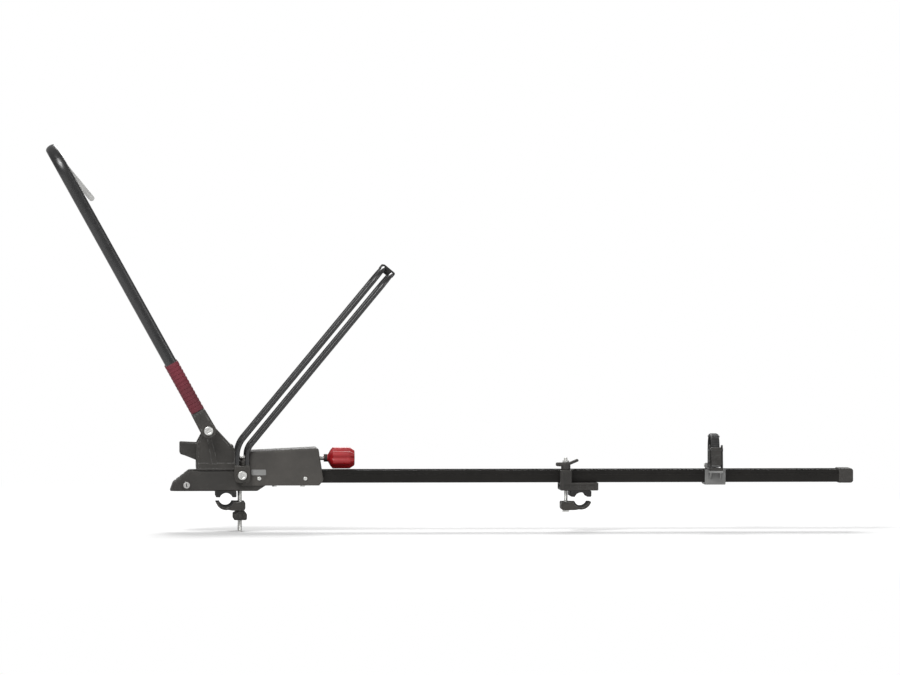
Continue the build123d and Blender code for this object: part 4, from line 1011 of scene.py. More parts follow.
def tower_outline():
    """Two straight flanks that meet the round head about the hoop's pivot."""
    front, rear, bottom, waist_z = carriage_front, tower_rear, carriage_floor, 0.118
    lean = pi / 2 - hoop_lean
    head = hoop_pivot[[0, 2]] + arc(0.015, lean, lean + pi, 19)
    low_part = rounded([(front, waist_z), (front, bottom), (rear, bottom), (rear, 0.104), head[0]],
                       [0, 0.0055, 0.0055, 0.018, 0], closed=False)
    waist = rounded([head[-1], (front, waist_z), (front, bottom)], [0, 0.02, 0], closed=False)
    return np.concatenate([low_part[1:-1], head, waist[1:-1]])


def tower_surfaces():
    """Both towers: a raised rim round a sunk field, a round boss at the pivot, a slanting rib."""
    outline = leftwards(tower_outline())
    rim_width, sunk, boss = 0.0045, 0.0016, 0.0125
    surfaces = []
    for start, stop in side_ranges(tower_near, tower_far):
        surfaces.append(frame_plate(FACING_Y, outline, inset(outline, rim_width), start, stop,
                                    0.0012))
    for start, stop in side_ranges(tower_near + 0.0015, tower_far - sunk):
        surfaces.append(plate(FACING_Y, inset(outline, rim_width / 2), start, stop, 0.0004, 1))
    slanting = rounded([(-0.030, deck + 0.014), (-0.018, deck + 0.014), (-0.032, 0.132),
                        (-0.040, 0.132)], 0.0015)
    for side in SIDES:
        surfaces.append(disc(hoop_pivot + side * tower_near * Y, side * Y, boss, 0.0005,
                             tower_far - tower_near + 0.0002, 0.0012))
        surfaces.append(plate(FACING_Y, slanting,
                              *beside(side, tower_near + 0.002, tower_far - 0.0004), 0.0008))
    return surfaces


def make_carriage():
    """The crosspiece stands a little inside the towers' faces, so that no two lie in one plane."""
    shy, top, window_half = 0.0004, deck + 0.016, 0.0283
    window_front, window_rear = -0.0423, 0.0133
    outer = box_outline(carriage_front + shy, tower_rear - shy, -tower_far + shy, tower_far - shy,
                        0.004)
    window = box_outline(window_front, window_rear, -window_half, window_half, 0.003)
    crosspiece = frame_plate(FACING_Z, outer, window, carriage_floor, top, 0.0015)
    tongue_end, tongue_half, tongue_top = high("carriage", 0), 0.020, carriage_floor + 0.0097
    tongue = plate(FACING_Z, box_outline(window_rear, tongue_end, -tongue_half, tongue_half, 0.003),
                   carriage_floor, tongue_top)
    lug_half, lug_top, lug_front = 0.014, screw_z + 0.012, tongue_end - 0.016
    lug = rounded([(-lug_half, carriage_floor + 0.002), (lug_half, carriage_floor + 0.002),
                   (lug_half, lug_top), (-lug_half, lug_top)], [0, 0, 0.011, 0.011], steps=8)
    web_foot, web_y, web_half = carriage_floor + 0.009, 0.011, 0.0015
    web = rounded([(window_rear + 0.004, web_foot), (tongue_end - 0.014, web_foot),
                   (tongue_end - 0.014, screw_z + 0.004)], 0.0008, steps=3)
    webs = [plate(FACING_Y, web, start, stop, 0.0005)
            for start, stop in side_ranges(web_y - web_half, web_y + web_half)]
    lug_plate = plate(FACING_X, lug, lug_front, tongue_end, 0.0015)
    piece("carriage_casting", together(*tower_surfaces(), crosspiece, tongue, lug_plate, *webs),
          "carriage", crease=42)


# Tightening screw, knob and plug
def make_screw():
    """A thread up to the collars and a plain shank behind them."""
    node, collars = "tension_screw", low("screw_collars", 0)
    start, stop = low(node, 0), high(node, 0)
    radius, shank, pitch, depth = 0.005, 0.0049, 0.0025, 0.0008
    surfaces = [thread(screw_line, X, radius, start, collars - 0.002, pitch, depth),
                turned(screw_line, X, [(collars - 0.003, shank), (stop, shank)], 32)]
    piece("screw_spindle", together(*surfaces), node, crease=50)


def denser(profile, longest=0.004, parts=6):
    """A profile with more points on its long straight runs."""
    runs = [np.linspace(first, second, parts if abs(second[0] - first[0]) > longest else 1,
                        endpoint=False) for first, second in zip(profile[:-1], profile[1:])]
    return np.concatenate([*runs, profile[-1:]])


def make_knob(shape):
    """A turned body whose radius dips by a raised cosine for each finger flute."""
    start, stop, radius = low("tension_knob", 0), high("tension_knob", 0), high("tension_knob", 1)
    neck, shoulder = 0.008, 0.218
    profile = denser(rounded(
        [(start, neck - 0.0008), (start, neck), (shoulder, neck), (0.223, 0.017), (0.228, radius),
         (0.264, radius), (stop, 0.016), (stop, 0.0103), (stop - 0.0026, 0.0103)],
        [0, 0.0006, 0.003, 0.004, 0.003, 0.006, 0.0025, 0.0008, 0], closed=False, steps=6))
    count, flutes_start, flutes_run, rim_radius = shape.flutes * 16, 0.2215, 0.007, 0.0150
    flute = (0.5 + 0.5 * np.cos(shape.flutes * whole_turn(count))) ** 2
    ramp = np.clip((profile[:, 0] - flutes_start) / flutes_run, 0, 1)
    ramp = ramp ** 2 * (3 - 2 * ramp) * (profile[:, 1] > rim_radius)
    radii = profile[:, 1:2] - shape.flute_depth * ramp[:, None] * flute
    piece("knob_grip", turned(screw_line, X, list(zip(profile[:, 0], radii)), count),
          "tension_knob", crease=50)
    collar = bushing(screw_line, X, neck + 0.0003, neck - 0.0005, start + 0.0004,
                     shoulder - 0.0015, 0.0006)
    refinish(piece("knob_collar", collar, "tension_knob", replaces=False), "base_black")
    dome = [(stop - 0.0026, 0.0101), (stop - 0.0006, 0.0101), (stop - 0.0002, 0.0096),
            (stop, 0.0085), (stop, 0.0062), (stop - 0.0004, 0.0056), (stop - 0.0004, 0.001)]
    piece("knob_badge_blank", turned(screw_line, X, dome, 40), "knob_plug")


# Front hoop: an oval tube bent over the wheel, with feet, sleeves, pad and guides
leg_y, hoop_top, hoop_bend = 0.079, 0.684, 0.062
tube_half_width, tube_half_depth = 0.008, 0.013


def on_hoop(points):
    """Points given across, along and out of the hoop's plane, in space."""
    return hoop_pivot + np.asarray(points, float) @ np.stack([Y, hoop_along, hoop_out])


def make_hoop_tube():
    """The oval tube up one leg, across the crown and down the other."""
    foot = 0.024
    corners = [(leg_y, foot, 0), (leg_y, hoop_top, 0), (-leg_y, hoop_top, 0), (-leg_y, foot, 0)]
    path = on_hoop(rounded(corners, [0, hoop_bend, hoop_bend, 0], closed=False, steps=24))
    piece("front_hoop_bar", sweep(path, oval(tube_half_depth, tube_half_width, 48), hoop_out),
          "front_hoop_tube", crease=50)


def make_hoop_feet(shape):
    """A long eye round the pivot that runs out into a socket for the tube."""
    near, far, radius, length, taper = 0.068, high("front_hoop_feet", 1), 0.0165, 0.046, 0.0012
    eye = arc(radius, pi / 2, 3 * pi / 2, 17)
    mouth = rounded([eye[-1], (length, taper - radius), (length, radius - taper), eye[0]],
                    [0, 0.005, 0.005, 0], closed=False)[1:-1]
    outline = leftwards(np.concatenate([eye, mouth]))
    bead_outer, bead_inner = inset(outline, 0.0035), inset(outline, 0.0055)
    surfaces = [plate(HOOP_SIDE, outline, start, stop, shape.foot_round, 4)
                for start, stop in side_ranges(near, far)]
    surfaces += [frame_plate(HOOP_SIDE, bead_outer, bead_inner, start, stop, 0.0003, 1)
                 for start, stop in side_ranges(far - 0.0006, far + 0.0003)]
    piece("front_hoop_sockets", together(*surfaces), "front_hoop_feet", crease=42)


def make_pins(name, node, pivot, feet, root, spacer_start, spacer_end):
    """On each side a pin with a spacer between the base and the foot, and a socket head outside."""
    shaft, spacer, head, key, key_depth, dome = 0.0059, 0.010, 0.0095, 0.005, 0.003, 0.0014
    centre, face, end = pivot * (1, 0, 1), high(feet, 1) + 0.0003, high(node, 1)
    surfaces = []
    for side in SIDES:
        surfaces += [disc(centre, side * Y, shaft, root, face + 0.001),
                     disc(centre, side * Y, spacer, spacer_start, spacer_end, 0.0008),
                     socket_head(centre, side * Y, head, face, end, key, key_depth, dome)]
    piece(name, together(*surfaces), node)


def make_sleeves(shape):
    """Oval rings whose half axes grow and shrink in even ribs along the leg."""
    start, stop, wall, ease, play, margin = 0.047, 0.162, 0.0022, 0.0012, 0.00005, 0.006
    step = (stop - start - 2 * margin) / shape.sleeve_ribs
    profile = [(start, play), (start, wall - ease), (start + ease, wall)]
    for rib in range(shape.sleeve_ribs):
        groove = start + margin + step * (rib + 0.5)
        profile += [(groove + reach, wall - depth * shape.rib_depth)
                    for reach, depth in ((-0.0018, 0), (-0.0010, 1), (0.0010, 1), (0.0018, 0))]
    profile += [(stop - ease, wall), (stop, wall - ease), (stop, play)]
    surfaces = []
    for side in SIDES:
        rings = []
        for place, grow in profile:
            loop = oval(tube_half_width + grow, tube_half_depth + grow, 44)
            rings.append(on_hoop(np.insert(loop + (side * leg_y, 0), 1, place, axis=1)))
        surfaces.append(stack(rings, endless=True))
    piece("grip_sleeves", together(*surfaces), "front_hoop_sleeves", crease=45)


def grooved(plane, outline, half, rim, centres, groove, depth):
    """A plate from -half to half with rounded rims and a groove round it at each centre."""
    outline, ends = leftwards(outline), walls(-half, half, rim, 4)
    grooves = [(centre + reach * groove, sunk * depth) for centre in centres
               for reach, sunk in ((-1, 0), (-0.6, 1), (0.6, 1), (1, 0))]
    places = ends[:len(ends) // 2] + grooves + ends[len(ends) // 2:]
    return stack([lifted(plane, inset(outline, inward), place) for place, inward in places])


def make_hoop_pad():
    """A rubber block under the crown; its upper side follows the tube's inner bend."""
    half, deep, shoulder, flat, valley, valley_deep = 0.036, 0.026, 0.021, 0.026, 0.010, 0.017
    straight, top = leg_y - hoop_bend, hoop_top - tube_half_width
    y = np.linspace(half, -half, 25)
    bend = top - (hoop_bend - np.sqrt(hoop_bend ** 2 - np.clip(np.abs(y) - straight, 0, None) ** 2))
    upper = np.stack([y, bend - 0.0002], 1)
    lower = rounded([upper[-1], (-half, top - shoulder), (-flat, top - deep),
                     (-valley, top - valley_deep), (valley, top - valley_deep), (flat, top - deep),
                     (half, top - shoulder), upper[0]],
                    [0, 0.003, 0.004, 0.008, 0.008, 0.004, 0.003, 0], closed=False, steps=5)[1:-1]
    thick_half, rim, outermost, groove, depth = 0.012, 0.002, 0.0066, 0.0011, 0.0008
    body = grooved(HOOP_FACE, np.concatenate([upper, lower]), thick_half, rim,
                   np.linspace(-outermost, outermost, 4), groove, depth)
    piece("tyre_rest", body, "front_hoop_pad", crease=45)


def make_guides():
    """A flat bar on each side of the pad, leaning in towards the wheel."""
    top, tip, half = np.array((0.662, 0.002)), np.array((0.545, 0.024)), 0.006
    near, far, bead = 0.036, 0.041, 0.0004
    along = unit(tip - top)
    across = np.array((-along[1], along[0])) * half
    outline = rounded([top + across, top - across, tip - across, tip + across],
                      [0.003, 0.003, half - 0.0004, half - 0.0004])
    outer, inner = [inset(leftwards(outline), inward) for inward in (0.0014, 0.0028)]
    surfaces = []
    for side in SIDES:
        surfaces.append(plate(HOOP_SIDE, outline, *beside(side, near, far), 0.0012))
        surfaces.append(frame_plate(HOOP_SIDE, outer, inner, *beside(side, far - bead, far + bead),
                                    0.0002, 1))
    piece("tyre_guide_bars", together(*surfaces), "tyre_guides", crease=42)


# Rear hoop: two rods side by side, bent back and then across over the wheel
rod_leg_y, rod_apart, rod_corner, rod_bend, rod_radius = 0.062, 0.021, 0.040, 0.050, 0.005
rod_knee = np.array((rear_pivot[0], 0, 0.1105))
rod_tip = rod_knee + rod_along * ((np.array((0.345, 0, 0.484)) - rod_knee) @ rod_along)
ROD_OFFSETS = (-rod_apart / 2, rod_apart / 2)


def rod_path(offset):
    """The line of one rod, moved sideways in its own plane by the offset."""
    turn = pi / 2 - rod_slope
    knee = rod_knee + np.array((offset, 0, -offset * tan(turn / 2)))
    tip = rod_tip + rod_across * offset
    start = np.array((rear_pivot[0] + offset, 0, 0.060))
    left = rod_leg_y * Y
    corners = [start - left, knee - left, tip - left, tip + left, knee + left, start + left]
    radii = [0, rod_bend - offset, rod_corner, rod_corner, rod_bend - offset, 0]
    return rounded(corners, radii, closed=False, steps=14)


def make_rods():
    """Both rods, each in one run over the wheel."""
    surfaces = [sweep(rod_path(offset), oval(rod_radius, rod_radius, 24), rod_across)
                for offset in ROD_OFFSETS]
    piece("rear_hoop_bars", together(*surfaces), "rear_hoop_rods", crease=50)


def make_rear_feet(shape):
    """A block on each side with two short collars for the rods."""
    node, x, half, near = "rear_hoop_feet", rear_pivot[0], 0.0175, 0.056
    bottom, top = low(node, 2), high(node, 2)
    outline = rounded([(x - half, bottom), (x + half, bottom), (x + half, top), (x - half, top)],
                      [0.010, 0.010, 0.004, 0.004])
    surfaces = [plate(FACING_Y, outline, start, stop, shape.foot_round, 4)
                for start, stop in side_ranges(near, high(node, 1))]
    for offset in ROD_OFFSETS:
        for side in SIDES:
            origin = np.array((x + offset, side * rod_leg_y, top))
            surfaces.append(bushing(origin, Z, rod_radius + 0.0008, rod_radius, -0.001, 0.0016,
                                    0.0004))
    piece("rear_hoop_sockets", together(*surfaces), node, crease=42)


def make_rear_pad():
    """A rubber cap round both rods, with grooves round it."""
    half_width, half_depth, outermost = 0.017, 0.0075, 0.018
    rim, groove, depth = 0.003, 0.0018, 0.0009
    outline = box_outline(-half_width, half_width, -half_depth, half_depth, 0.0045)
    body = grooved((rod_tip, rod_across, rod_along, Y), outline, high("rear_hoop_pad", 1), rim,
                   np.linspace(-outermost, outermost, 5), groove, depth)
    piece("rear_tyre_rest", body, "rear_hoop_pad", crease=45)


# Clamps round the crossbars
bar_radius, liner_radius, claw_radius = 0.0143, 0.0168, 0.0223
stud_x, stud_y = 0.030, 0.038


def bar_plane(bar, y=0.0, towards=X):
    """The plane square to a bar at Y, seen with its first axis towards the stud."""
    return np.array((bar, y, 0)), towards, Z, Y


def make_bar_pad(node, name, bar, centres, half, grooves):
    """Blocks over a bar, their seats arcs of its radius, with grooves round them."""
    reach, bottom, top = 0.022, low(node, 2), high(node, 2)
    low_round, top_round, margin, groove, depth = 0.0022, 0.0025, 0.005, 0.0011, 0.0008
    lip = asin(bottom / bar_radius)
    seat = arc(bar_radius, pi - lip, lip, 21)
    outline = rounded([(-reach, bottom), *seat, (reach, bottom), (reach, top), (-reach, top)],
                      [low_round, *[0] * len(seat), low_round, top_round, top_round], steps=4)
    places = np.linspace(-half + margin, half - margin, grooves)
    surfaces = [grooved(bar_plane(bar, y), outline, half, 0.0010, places, groove, depth)
                for y in centres]
    return piece(name, together(*surfaces), node, crease=45)


def claw_outline(reach, bottom, lip, margin=0.0):
    """A hook that opens upwards with its boss on the right; the margin shrinks it all round."""
    inner, outer = liner_radius + 0.0001 + margin, claw_radius - margin
    reach, bottom, lip = reach - margin, bottom + margin, lip - margin
    tip, root, edge = asin(-lip / outer), asin(-lip / inner), 0.0015 - margin / 2
    hook, mouth = arc(outer, pi + tip, 1.5 * pi + 0.2, 17), arc(inner, 2 * pi - root, pi + root, 17)
    boss = [(0.014, bottom), (reach, bottom), (reach, lip)]
    radii = [edge, *[0] * (len(hook) - 1), 0.03, 0.006 - margin, 0.003 - margin / 2,
             edge, *[0] * (len(mouth) - 2), edge]
    return rounded(np.concatenate([hook, boss, mouth]), radii)


def upright_hole(x, y, radius, start, stop):
    """A cutter for a round hole along Z."""
    return turned(np.array((x, y, 0)), Z, [(start, radius), (stop, radius)], 28)


def make_claw(node, bar, towards, stud):
    """A hook with a sunk field on each side and a hole for its stud."""
    bottom, lip, start, stop = low(node, 2), high(node, 2), low(node, 1), high(node, 1)
    reach = max(bar - low(node, 0), high(node, 0) - bar)
    plane, frame_width, sink, hole = bar_plane(bar, towards=towards), 0.0018, 0.0012, 0.0044
    hook = plate(plane, claw_outline(reach, bottom, lip), start, stop, 0.0012)
    made = piece(node + "_hook", hook, node, crease=42)
    field = claw_outline(reach, bottom, lip, frame_width)
    cut_away(made, plate(plane, field, start - OVER, start + sink, 0),
             plate(plane, field, stop - sink, stop + OVER, 0),
             upright_hole(*stud, hole, bottom - OVER, lip + OVER))


def make_claw_liner(node, bar):
    """The rubber half ring in a claw."""
    lip = -high(node, 2)
    inner, outer = asin(lip / bar_radius), asin(lip / liner_radius)
    outline = np.concatenate([arc(liner_radius, pi + outer, 2 * pi - outer),
                              arc(bar_radius, 2 * pi - inner, pi + inner)])
    ring = plate(bar_plane(bar), outline, low(node, 1), high(node, 1), 0.0006)
    piece(node + "_ring", ring, node, crease=45)


def sunk_fields(plane, face, outwards, across, up, count, rib=0.004, sink=0.0015):
    """Cutters for a row of sunk fields between ribs on a flat face."""
    width = (across[1] - across[0] + rib) / count - rib
    near, far = sorted((face - outwards * sink, face + outwards * OVER))
    return [plate(plane, box_outline(start, start + width, *up, 0.0013, 3), near, far, 0)
            for start in across[0] + np.arange(count) * (width + rib)]


def make_clamp_block():
    """The block under the tray with ribbed sides, and its post for the draw bolt. It gives back
    the place and radius of the well for the slot bolt's head."""
    node = "rear_clamp_block"
    front, rear, wing, half = low(node, 0), high(node, 0), low(node, 1), high(node, 1)
    bottom, top, post_top = high("rear_bar_pad", 2), low("tray", 2) - 0.0002, high(node, 2)
    post_rear, post_inner, margin, border = 0.736, -0.0366, 0.007, 0.004
    hole = upright_hole(*clamp_axis[:2], 0.0043, bottom - OVER, post_top + OVER)
    well_place, well_radius = middle("rear_slot_bolt")[:2], half_size("rear_slot_bolt", 0) + 0.0003
    well = upright_hole(*well_place, well_radius, bottom - OVER, bottom + 0.0062)
    block = plate(FACING_Z, box_outline(front, rear, wing, half, 0.005), bottom, top, 0.0018)
    up, along = (bottom + border, top - border), (front + margin, rear - margin)
    across, fields = (wing + margin, half - margin), []
    for plane, face, outwards, run, count in (
            (FACING_Y, wing, -1, along, 4), (FACING_Y, half, 1, along, 4),
            (FACING_X, front, -1, across, 5), (FACING_X, rear, 1, across, 5)):
        fields += sunk_fields(plane, face, outwards, run, up, count)
    cut_away(piece("rear_clamp_body", block, node), hole, well, *fields)
    post = plate(FACING_Z, box_outline(front, post_rear, wing, post_inner, 0.0045), top - 0.003,
                 post_top, 0.002)
    fields = sunk_fields(FACING_Y, wing, -1, (front + 0.005, post_rear - 0.005),
                         (top + 0.005, post_top - 0.006), 2, 0.003, 0.001)
    cut_away(piece("rear_clamp_post", post, node, replaces=False), hole, *fields)
    return well_place, well_radius


def make_rear_grip():
    """The rear clamp's block, its pad with the well for the bolt's head, its claw and liner."""
    well_place, well_radius = make_clamp_block()
    node = "rear_bar_pad"
    pad = make_bar_pad(node, "rear_bar_rest", bar_x, [middle(node)[1]], half_size(node, 1), 10)
    cut_away(pad, upright_hole(*well_place, well_radius, 0, high(node, 2) + OVER))
    make_claw("rear_claw", bar_x, -X, clamp_axis[:2])
    make_claw_liner("rear_claw_liner", bar_x)


def make_front_grips():
    """The front pads, claws and liners."""
    make_bar_pad("front_bar_pads", "front_bar_rests", 0, [-stud_y, stud_y], 0.014, 4)
    for name in ("left", "right"):
        node = "front_claw_" + name
        make_claw(node, 0, X, (stud_x, middle(node)[1]))
        make_claw_liner("front_claw_liner_" + name, 0)


def make_hand_knobs(shape):
    """A lobed grip: the radius falls between lobes by a raised cosine."""
    count, lobe_depth, radius, neck = shape.lobes * 14, 0.0035, 0.016, 0.0112
    fall = lobe_depth * (0.5 - 0.5 * np.cos(shape.lobes * whole_turn(count))) ** 1.3
    for side in ("left", "right"):
        node = "hand_knob_" + side
        centre, top = middle(node), half_size(node, 2)
        bottom = -top
        profile = [(bottom + rise, radius - inward) for inward, rise in rim_arc(0.004, 5)]
        profile += [(top - 0.0075, radius), (top - 0.0062, radius - 0.0012), (top - 0.0045, 0.0105),
                    (top - 0.0008, 0.0100), (top, 0.0092)]
        lobed = [(h, r - fall * (r > neck)) for h, r in profile]
        socket = [(bottom + 0.0035, 0.0052), (bottom, 0.0058)]
        piece(f"grip_{side}", turned(centre, Z, socket + lobed, count), node, crease=45)


def make_studs():
    """Threaded studs that hang from the base."""
    start, stop = low("front_clamp_studs", 2), low("head_base", 2) + 0.004
    surfaces = [clamp_thread(stud_x, side * stud_y, start, stop) for side in SIDES]
    piece("threaded_studs", together(*surfaces), "front_clamp_studs", crease=60)


# Rear clamp's bolt and lever
def make_draw_bolt():
    """A threaded bolt with a hexagon head under the claw."""
    node, claw_bottom = "rear_draw_bolt", low("rear_claw", 2)
    surfaces = [hexagon_bar(clamp_axis, Z, 0.0062, low(node, 2), claw_bottom),
                clamp_thread(*clamp_axis[:2], claw_bottom - 0.001, high(node, 2))]
    piece("draw_bolt", together(*surfaces), node, crease=60)


def make_lever():
    """A hub with a paddle whose outline rises to the rear and swells at its tip."""
    node, axis_x, axis_y, half = "rear_clamp_lever", *clamp_axis[:2], 0.009
    base, hub_top, tip = low(node, 2), low(node, 2) + 0.015, 0.0805
    front, rear = low(node, 0), high(node, 0)
    outline = rounded([(front, base + 0.0078), (axis_x, base + 0.0066), (rear, tip),
                       (rear, high(node, 2)), (axis_x + 0.008, hub_top + 0.0015),
                       (front, base + 0.0155)],
                      [0.003, 0.02, 0.0028, 0.0028, 0.02, 0.003], steps=6)
    hub = disc(clamp_axis, Z, 0.010, base, hub_top, 0.0015)
    paddle = plate(FACING_Y, outline, axis_y - half, axis_y + half, 0.0026, 5)
    nut = hexagon_bar(clamp_axis, Z, 0.0058, hub_top - 0.001, hub_top + 0.0052)
    piece("lever_handle", together(hub, paddle), node, crease=45)
    refinish(piece("lever_nut", nut, node, replaces=False), "bright_steel")


# Strap for the rear wheel: saddle round the tray, ladder strap, rim pad and buckle
strap_half, strap_thick, buckle_foot, anchor = 0.009, 0.0035, 0.060, joint_place["strap_open"]
strap_top = high("wheel_strap", 2) - strap_thick / 2 - 0.0002


def make_saddle():
    """A channel round the tray with ribs, two ears for the strap's pin and a braced shelf."""
    start, stop = low("strap_saddle", 0), high("strap_saddle", 0)
    gap, wall = 0.0004, 0.005
    inner, outer = tray_half + gap, tray_half + gap + wall
    floor = low("tray", 2) - gap
    channel = rounded([(-outer, deck), (-inner, deck), (-inner, floor), (inner, floor),
                       (inner, deck), (outer, deck), (outer, floor - wall), (-outer, floor - wall)],
                      [0.0018, 0.0012, 0.001, 0.001, 0.0012, 0.0018, 0.0045, 0.0045], steps=5)
    surfaces = [plate(FACING_X, channel, start, stop, 0.001)]
    rib_thick, eye, ear_thick = 0.003, 0.0045, 0.005
    ribs = [box_outline(start, stop, floor - 0.001, deck - 0.006, 0.0004, 2)
            for start, stop in side_ranges(outer - 0.001, outer + 0.0009)]
    for place in (strap_x - 0.0165, strap_x + 0.0135):
        surfaces += [plate(FACING_X, rib, place, place + rib_thick, 0.0004, 1) for rib in ribs]
    ear = rounded([(inner + 0.001, deck - 0.009), (anchor[1] + eye, deck - 0.009),
                   (anchor[1] + eye, anchor[2] + eye), (anchor[1] - eye, anchor[2] + eye),
                   (inner + 0.001, deck - 0.002)], [0, 0.004, 0.0044, 0.0044, 0.003], steps=7)
    for start, stop in side_ranges(strap_half + 0.0003, strap_half + 0.0003 + ear_thick):
        surfaces.append(plate(FACING_X, ear, strap_x + start, strap_x + stop, 0.0008))
    shelf_half, brace_top = 0.015, buckle_foot - 0.0035
    shelf = box_outline(low("ratchet_buckle", 1), -outer + 0.002, buckle_foot - 0.005, buckle_foot,
                        0.0015, 4)
    surfaces.append(plate(FACING_X, shelf, strap_x - shelf_half, strap_x + shelf_half))
    brace = rounded([(-outer + 0.001, 0.040), (-outer + 0.001, brace_top), (-0.060, brace_top)],
                    0.001, steps=3)
    for start, stop in side_ranges(0.009, 0.012):
        surfaces.append(plate(FACING_X, brace, strap_x + start, strap_x + stop, 0.0005))
    piece("saddle_shell", together(*surfaces), "strap_saddle", crease=42)


def strap_line():
    """Up from the pin, over the wheel's rim and down into the buckle."""
    y, tail = anchor[1], 0.076
    corners = [(strap_x, y, anchor[2]), (strap_x, y, strap_top), (strap_x, -y, strap_top),
               (strap_x, -y, tail)]
    return rounded(corners, [0, 0.034, 0.034, 0], closed=False, steps=18)


def resampled(path, places):
    """Points of a path at shares of its length, and that length."""
    run = np.concatenate([[0], np.cumsum(np.linalg.norm(np.diff(path, axis=0), axis=1))])
    points = np.stack([np.interp(places * run[-1], run, path[:, axis]) for axis in range(3)], 1)
    return points, run[-1]


def make_strap(shape):
    """A flat band round its pin, with wedges as rungs along its outer face."""
    first, last = 0.13, 0.985
    path, length = resampled(strap_line(), np.linspace(0, 1, 120))
    section = box_outline(-strap_half, strap_half, -strap_thick / 2, strap_thick / 2, 0.0012, 4)
    surfaces = [sweep(path, section, X),
                bushing(anchor, X, 0.0065, 0.0031, -strap_half, strap_half, 0.0008)]
    centres = resampled(path, np.linspace(first, last, shape.rungs))[0]
    along = unit(np.gradient(centres, axis=0))
    outward = np.cross(along, X)
    step, rung_half = (last - first) * length / (shape.rungs - 1), 0.7 * strap_half
    wedge = [(-0.32 * step, -0.0006), (0.32 * step, -0.0006), (0.30 * step, shape.rung_height),
             (-0.10 * step, shape.rung_height)]
    for centre, forward, up in zip(centres, along, outward):
        plane = (centre + up * strap_thick / 2, forward, up, X)
        surfaces.append(plate(plane, wedge, -rung_half, rung_half, 0.0002, 1))
    piece("ladder_strap", together(*surfaces), "wheel_strap", crease=40)


def make_rim_pad():
    """A rubber block under the strap: its lower side is wavy for grip."""
    bottom, top, half = low("rim_pad", 2), high("rim_pad", 2), high("rim_pad", 1)
    wave_height, wave_length, bevel = 0.0005, 0.005, 0.001
    y = np.linspace(half - bevel, bevel - half, 61)
    lower = np.stack([y, bottom + wave_height * (1 - np.cos(2 * pi * y / wave_length))], 1)
    upper = [(half, bottom + 0.0012), (half, top - bevel), (half - bevel, top)]
    upper = np.array([(-y, z) for y, z in upper] + upper[::-1])
    block = plate(FACING_X, np.concatenate([lower, upper]), low("rim_pad", 0), high("rim_pad", 0),
                  0.0005, 2)
    piece("rim_rest", block, "rim_pad", crease=45)


def make_buckle():
    """Two cheeks and a foot, with a raised rim on each cheek."""
    inner, outer = high("ratchet_buckle", 1), low("ratchet_buckle", 1)
    bottom, top, cheek, web, bore = buckle_foot, 0.116, 0.0035, 0.006, 0.0026
    outline = leftwards(rounded([(inner, bottom), (inner, top - cheek), (lever_pin[1], top),
                                 (outer + web, lever_pin[2]), (outer, bottom)],
                                [0.0034, 0.0034, 0.006, 0.006, 0.0034]))
    bead_outer, bead_inner = inset(outline, 0.0004), inset(outline, 0.0024)
    half = half_size("ratchet_buckle", 0)
    surfaces = []
    for side in SIDES:
        start, stop = beside(side, half - cheek, half - 0.0004)
        surfaces.append(plate(FACING_X, outline, strap_x + start, strap_x + stop, 0.0008))
        start, stop = beside(side, half - 0.001, half - 0.0003)
        surfaces.append(frame_plate(FACING_X, bead_outer, bead_inner, strap_x + start,
                                    strap_x + stop, 0.0003))
        for pin, radius in ((lever_pin, 0.0048), (tab_pin, 0.0042)):
            surfaces.append(bushing(pin, side * X, radius, bore, half - 0.0015, half - 0.0001,
                                    0.0004))
    foot = box_outline(outer, inner, bottom, bottom + web, 0.001, 3)
    foot_half = half - cheek / 2
    surfaces.append(plate(FACING_X, foot, strap_x - foot_half, strap_x + foot_half, 0.0005))
    piece("buckle_body", together(*surfaces), "ratchet_buckle", crease=42)


def make_buckle_lever():
    """A knuckle on the upper pin, and a handle that hangs down outside with grip ribs."""
    half, knuckle, shoulder = half_size("buckle_lever", 0), 0.006, 0.087
    y, z = lever_pin[1:]
    outer, bottom, thick = low("buckle_lever", 1), low("buckle_lever", 2), 0.005
    rib_half, rib_inset, rib_proud = 0.0007, 0.003, 0.0004
    outline = rounded([(y - knuckle + 0.0005, z + 0.001), (outer, 0.091), (outer, bottom),
                       (outer + thick - 0.0008, bottom), (outer + thick, 0.088),
                       (y, z - knuckle + 0.0006)],
                      [0.002, 0.012, 0.0018, 0.0018, 0.006, 0.002], steps=6)
    surfaces = [plate(FACING_X, outline, strap_x - half, strap_x + half, 0.0012),
                disc(lever_pin, X, knuckle, -half, half, 0.0008)]
    for place in np.linspace(bottom + 0.0035, shoulder, 6):
        rib = box_outline(outer - rib_proud, outer - rib_proud + 0.002, place - rib_half,
                          place + rib_half, 0.0003, 2)
        surfaces.append(plate(FACING_X, rib, strap_x - half + rib_inset, strap_x + half - rib_inset,
                              0.0003, 1))
    piece("ratchet_handle", together(*surfaces), "buckle_lever", crease=42)


def make_release_tab():
    """A hub on the lower pin with a flap that has a rounded tip."""
    half, hub, thick, bottom = half_size("release_tab", 0), 0.0035, 0.003, low("release_tab", 2)
    y, z = tab_pin[1:]
    outline = rounded([(y - hub, z), (y - hub, bottom), (y - hub + thick, bottom),
                       (y - hub + thick, z)], [0, 0.0014, 0.0014, 0], steps=5)
    surfaces = [plate(FACING_X, outline, strap_x - half, strap_x + half, 0.0006),
                disc(tab_pin, X, hub, -half, half)]
    piece("release_flap", together(*surfaces), "release_tab", crease=42)


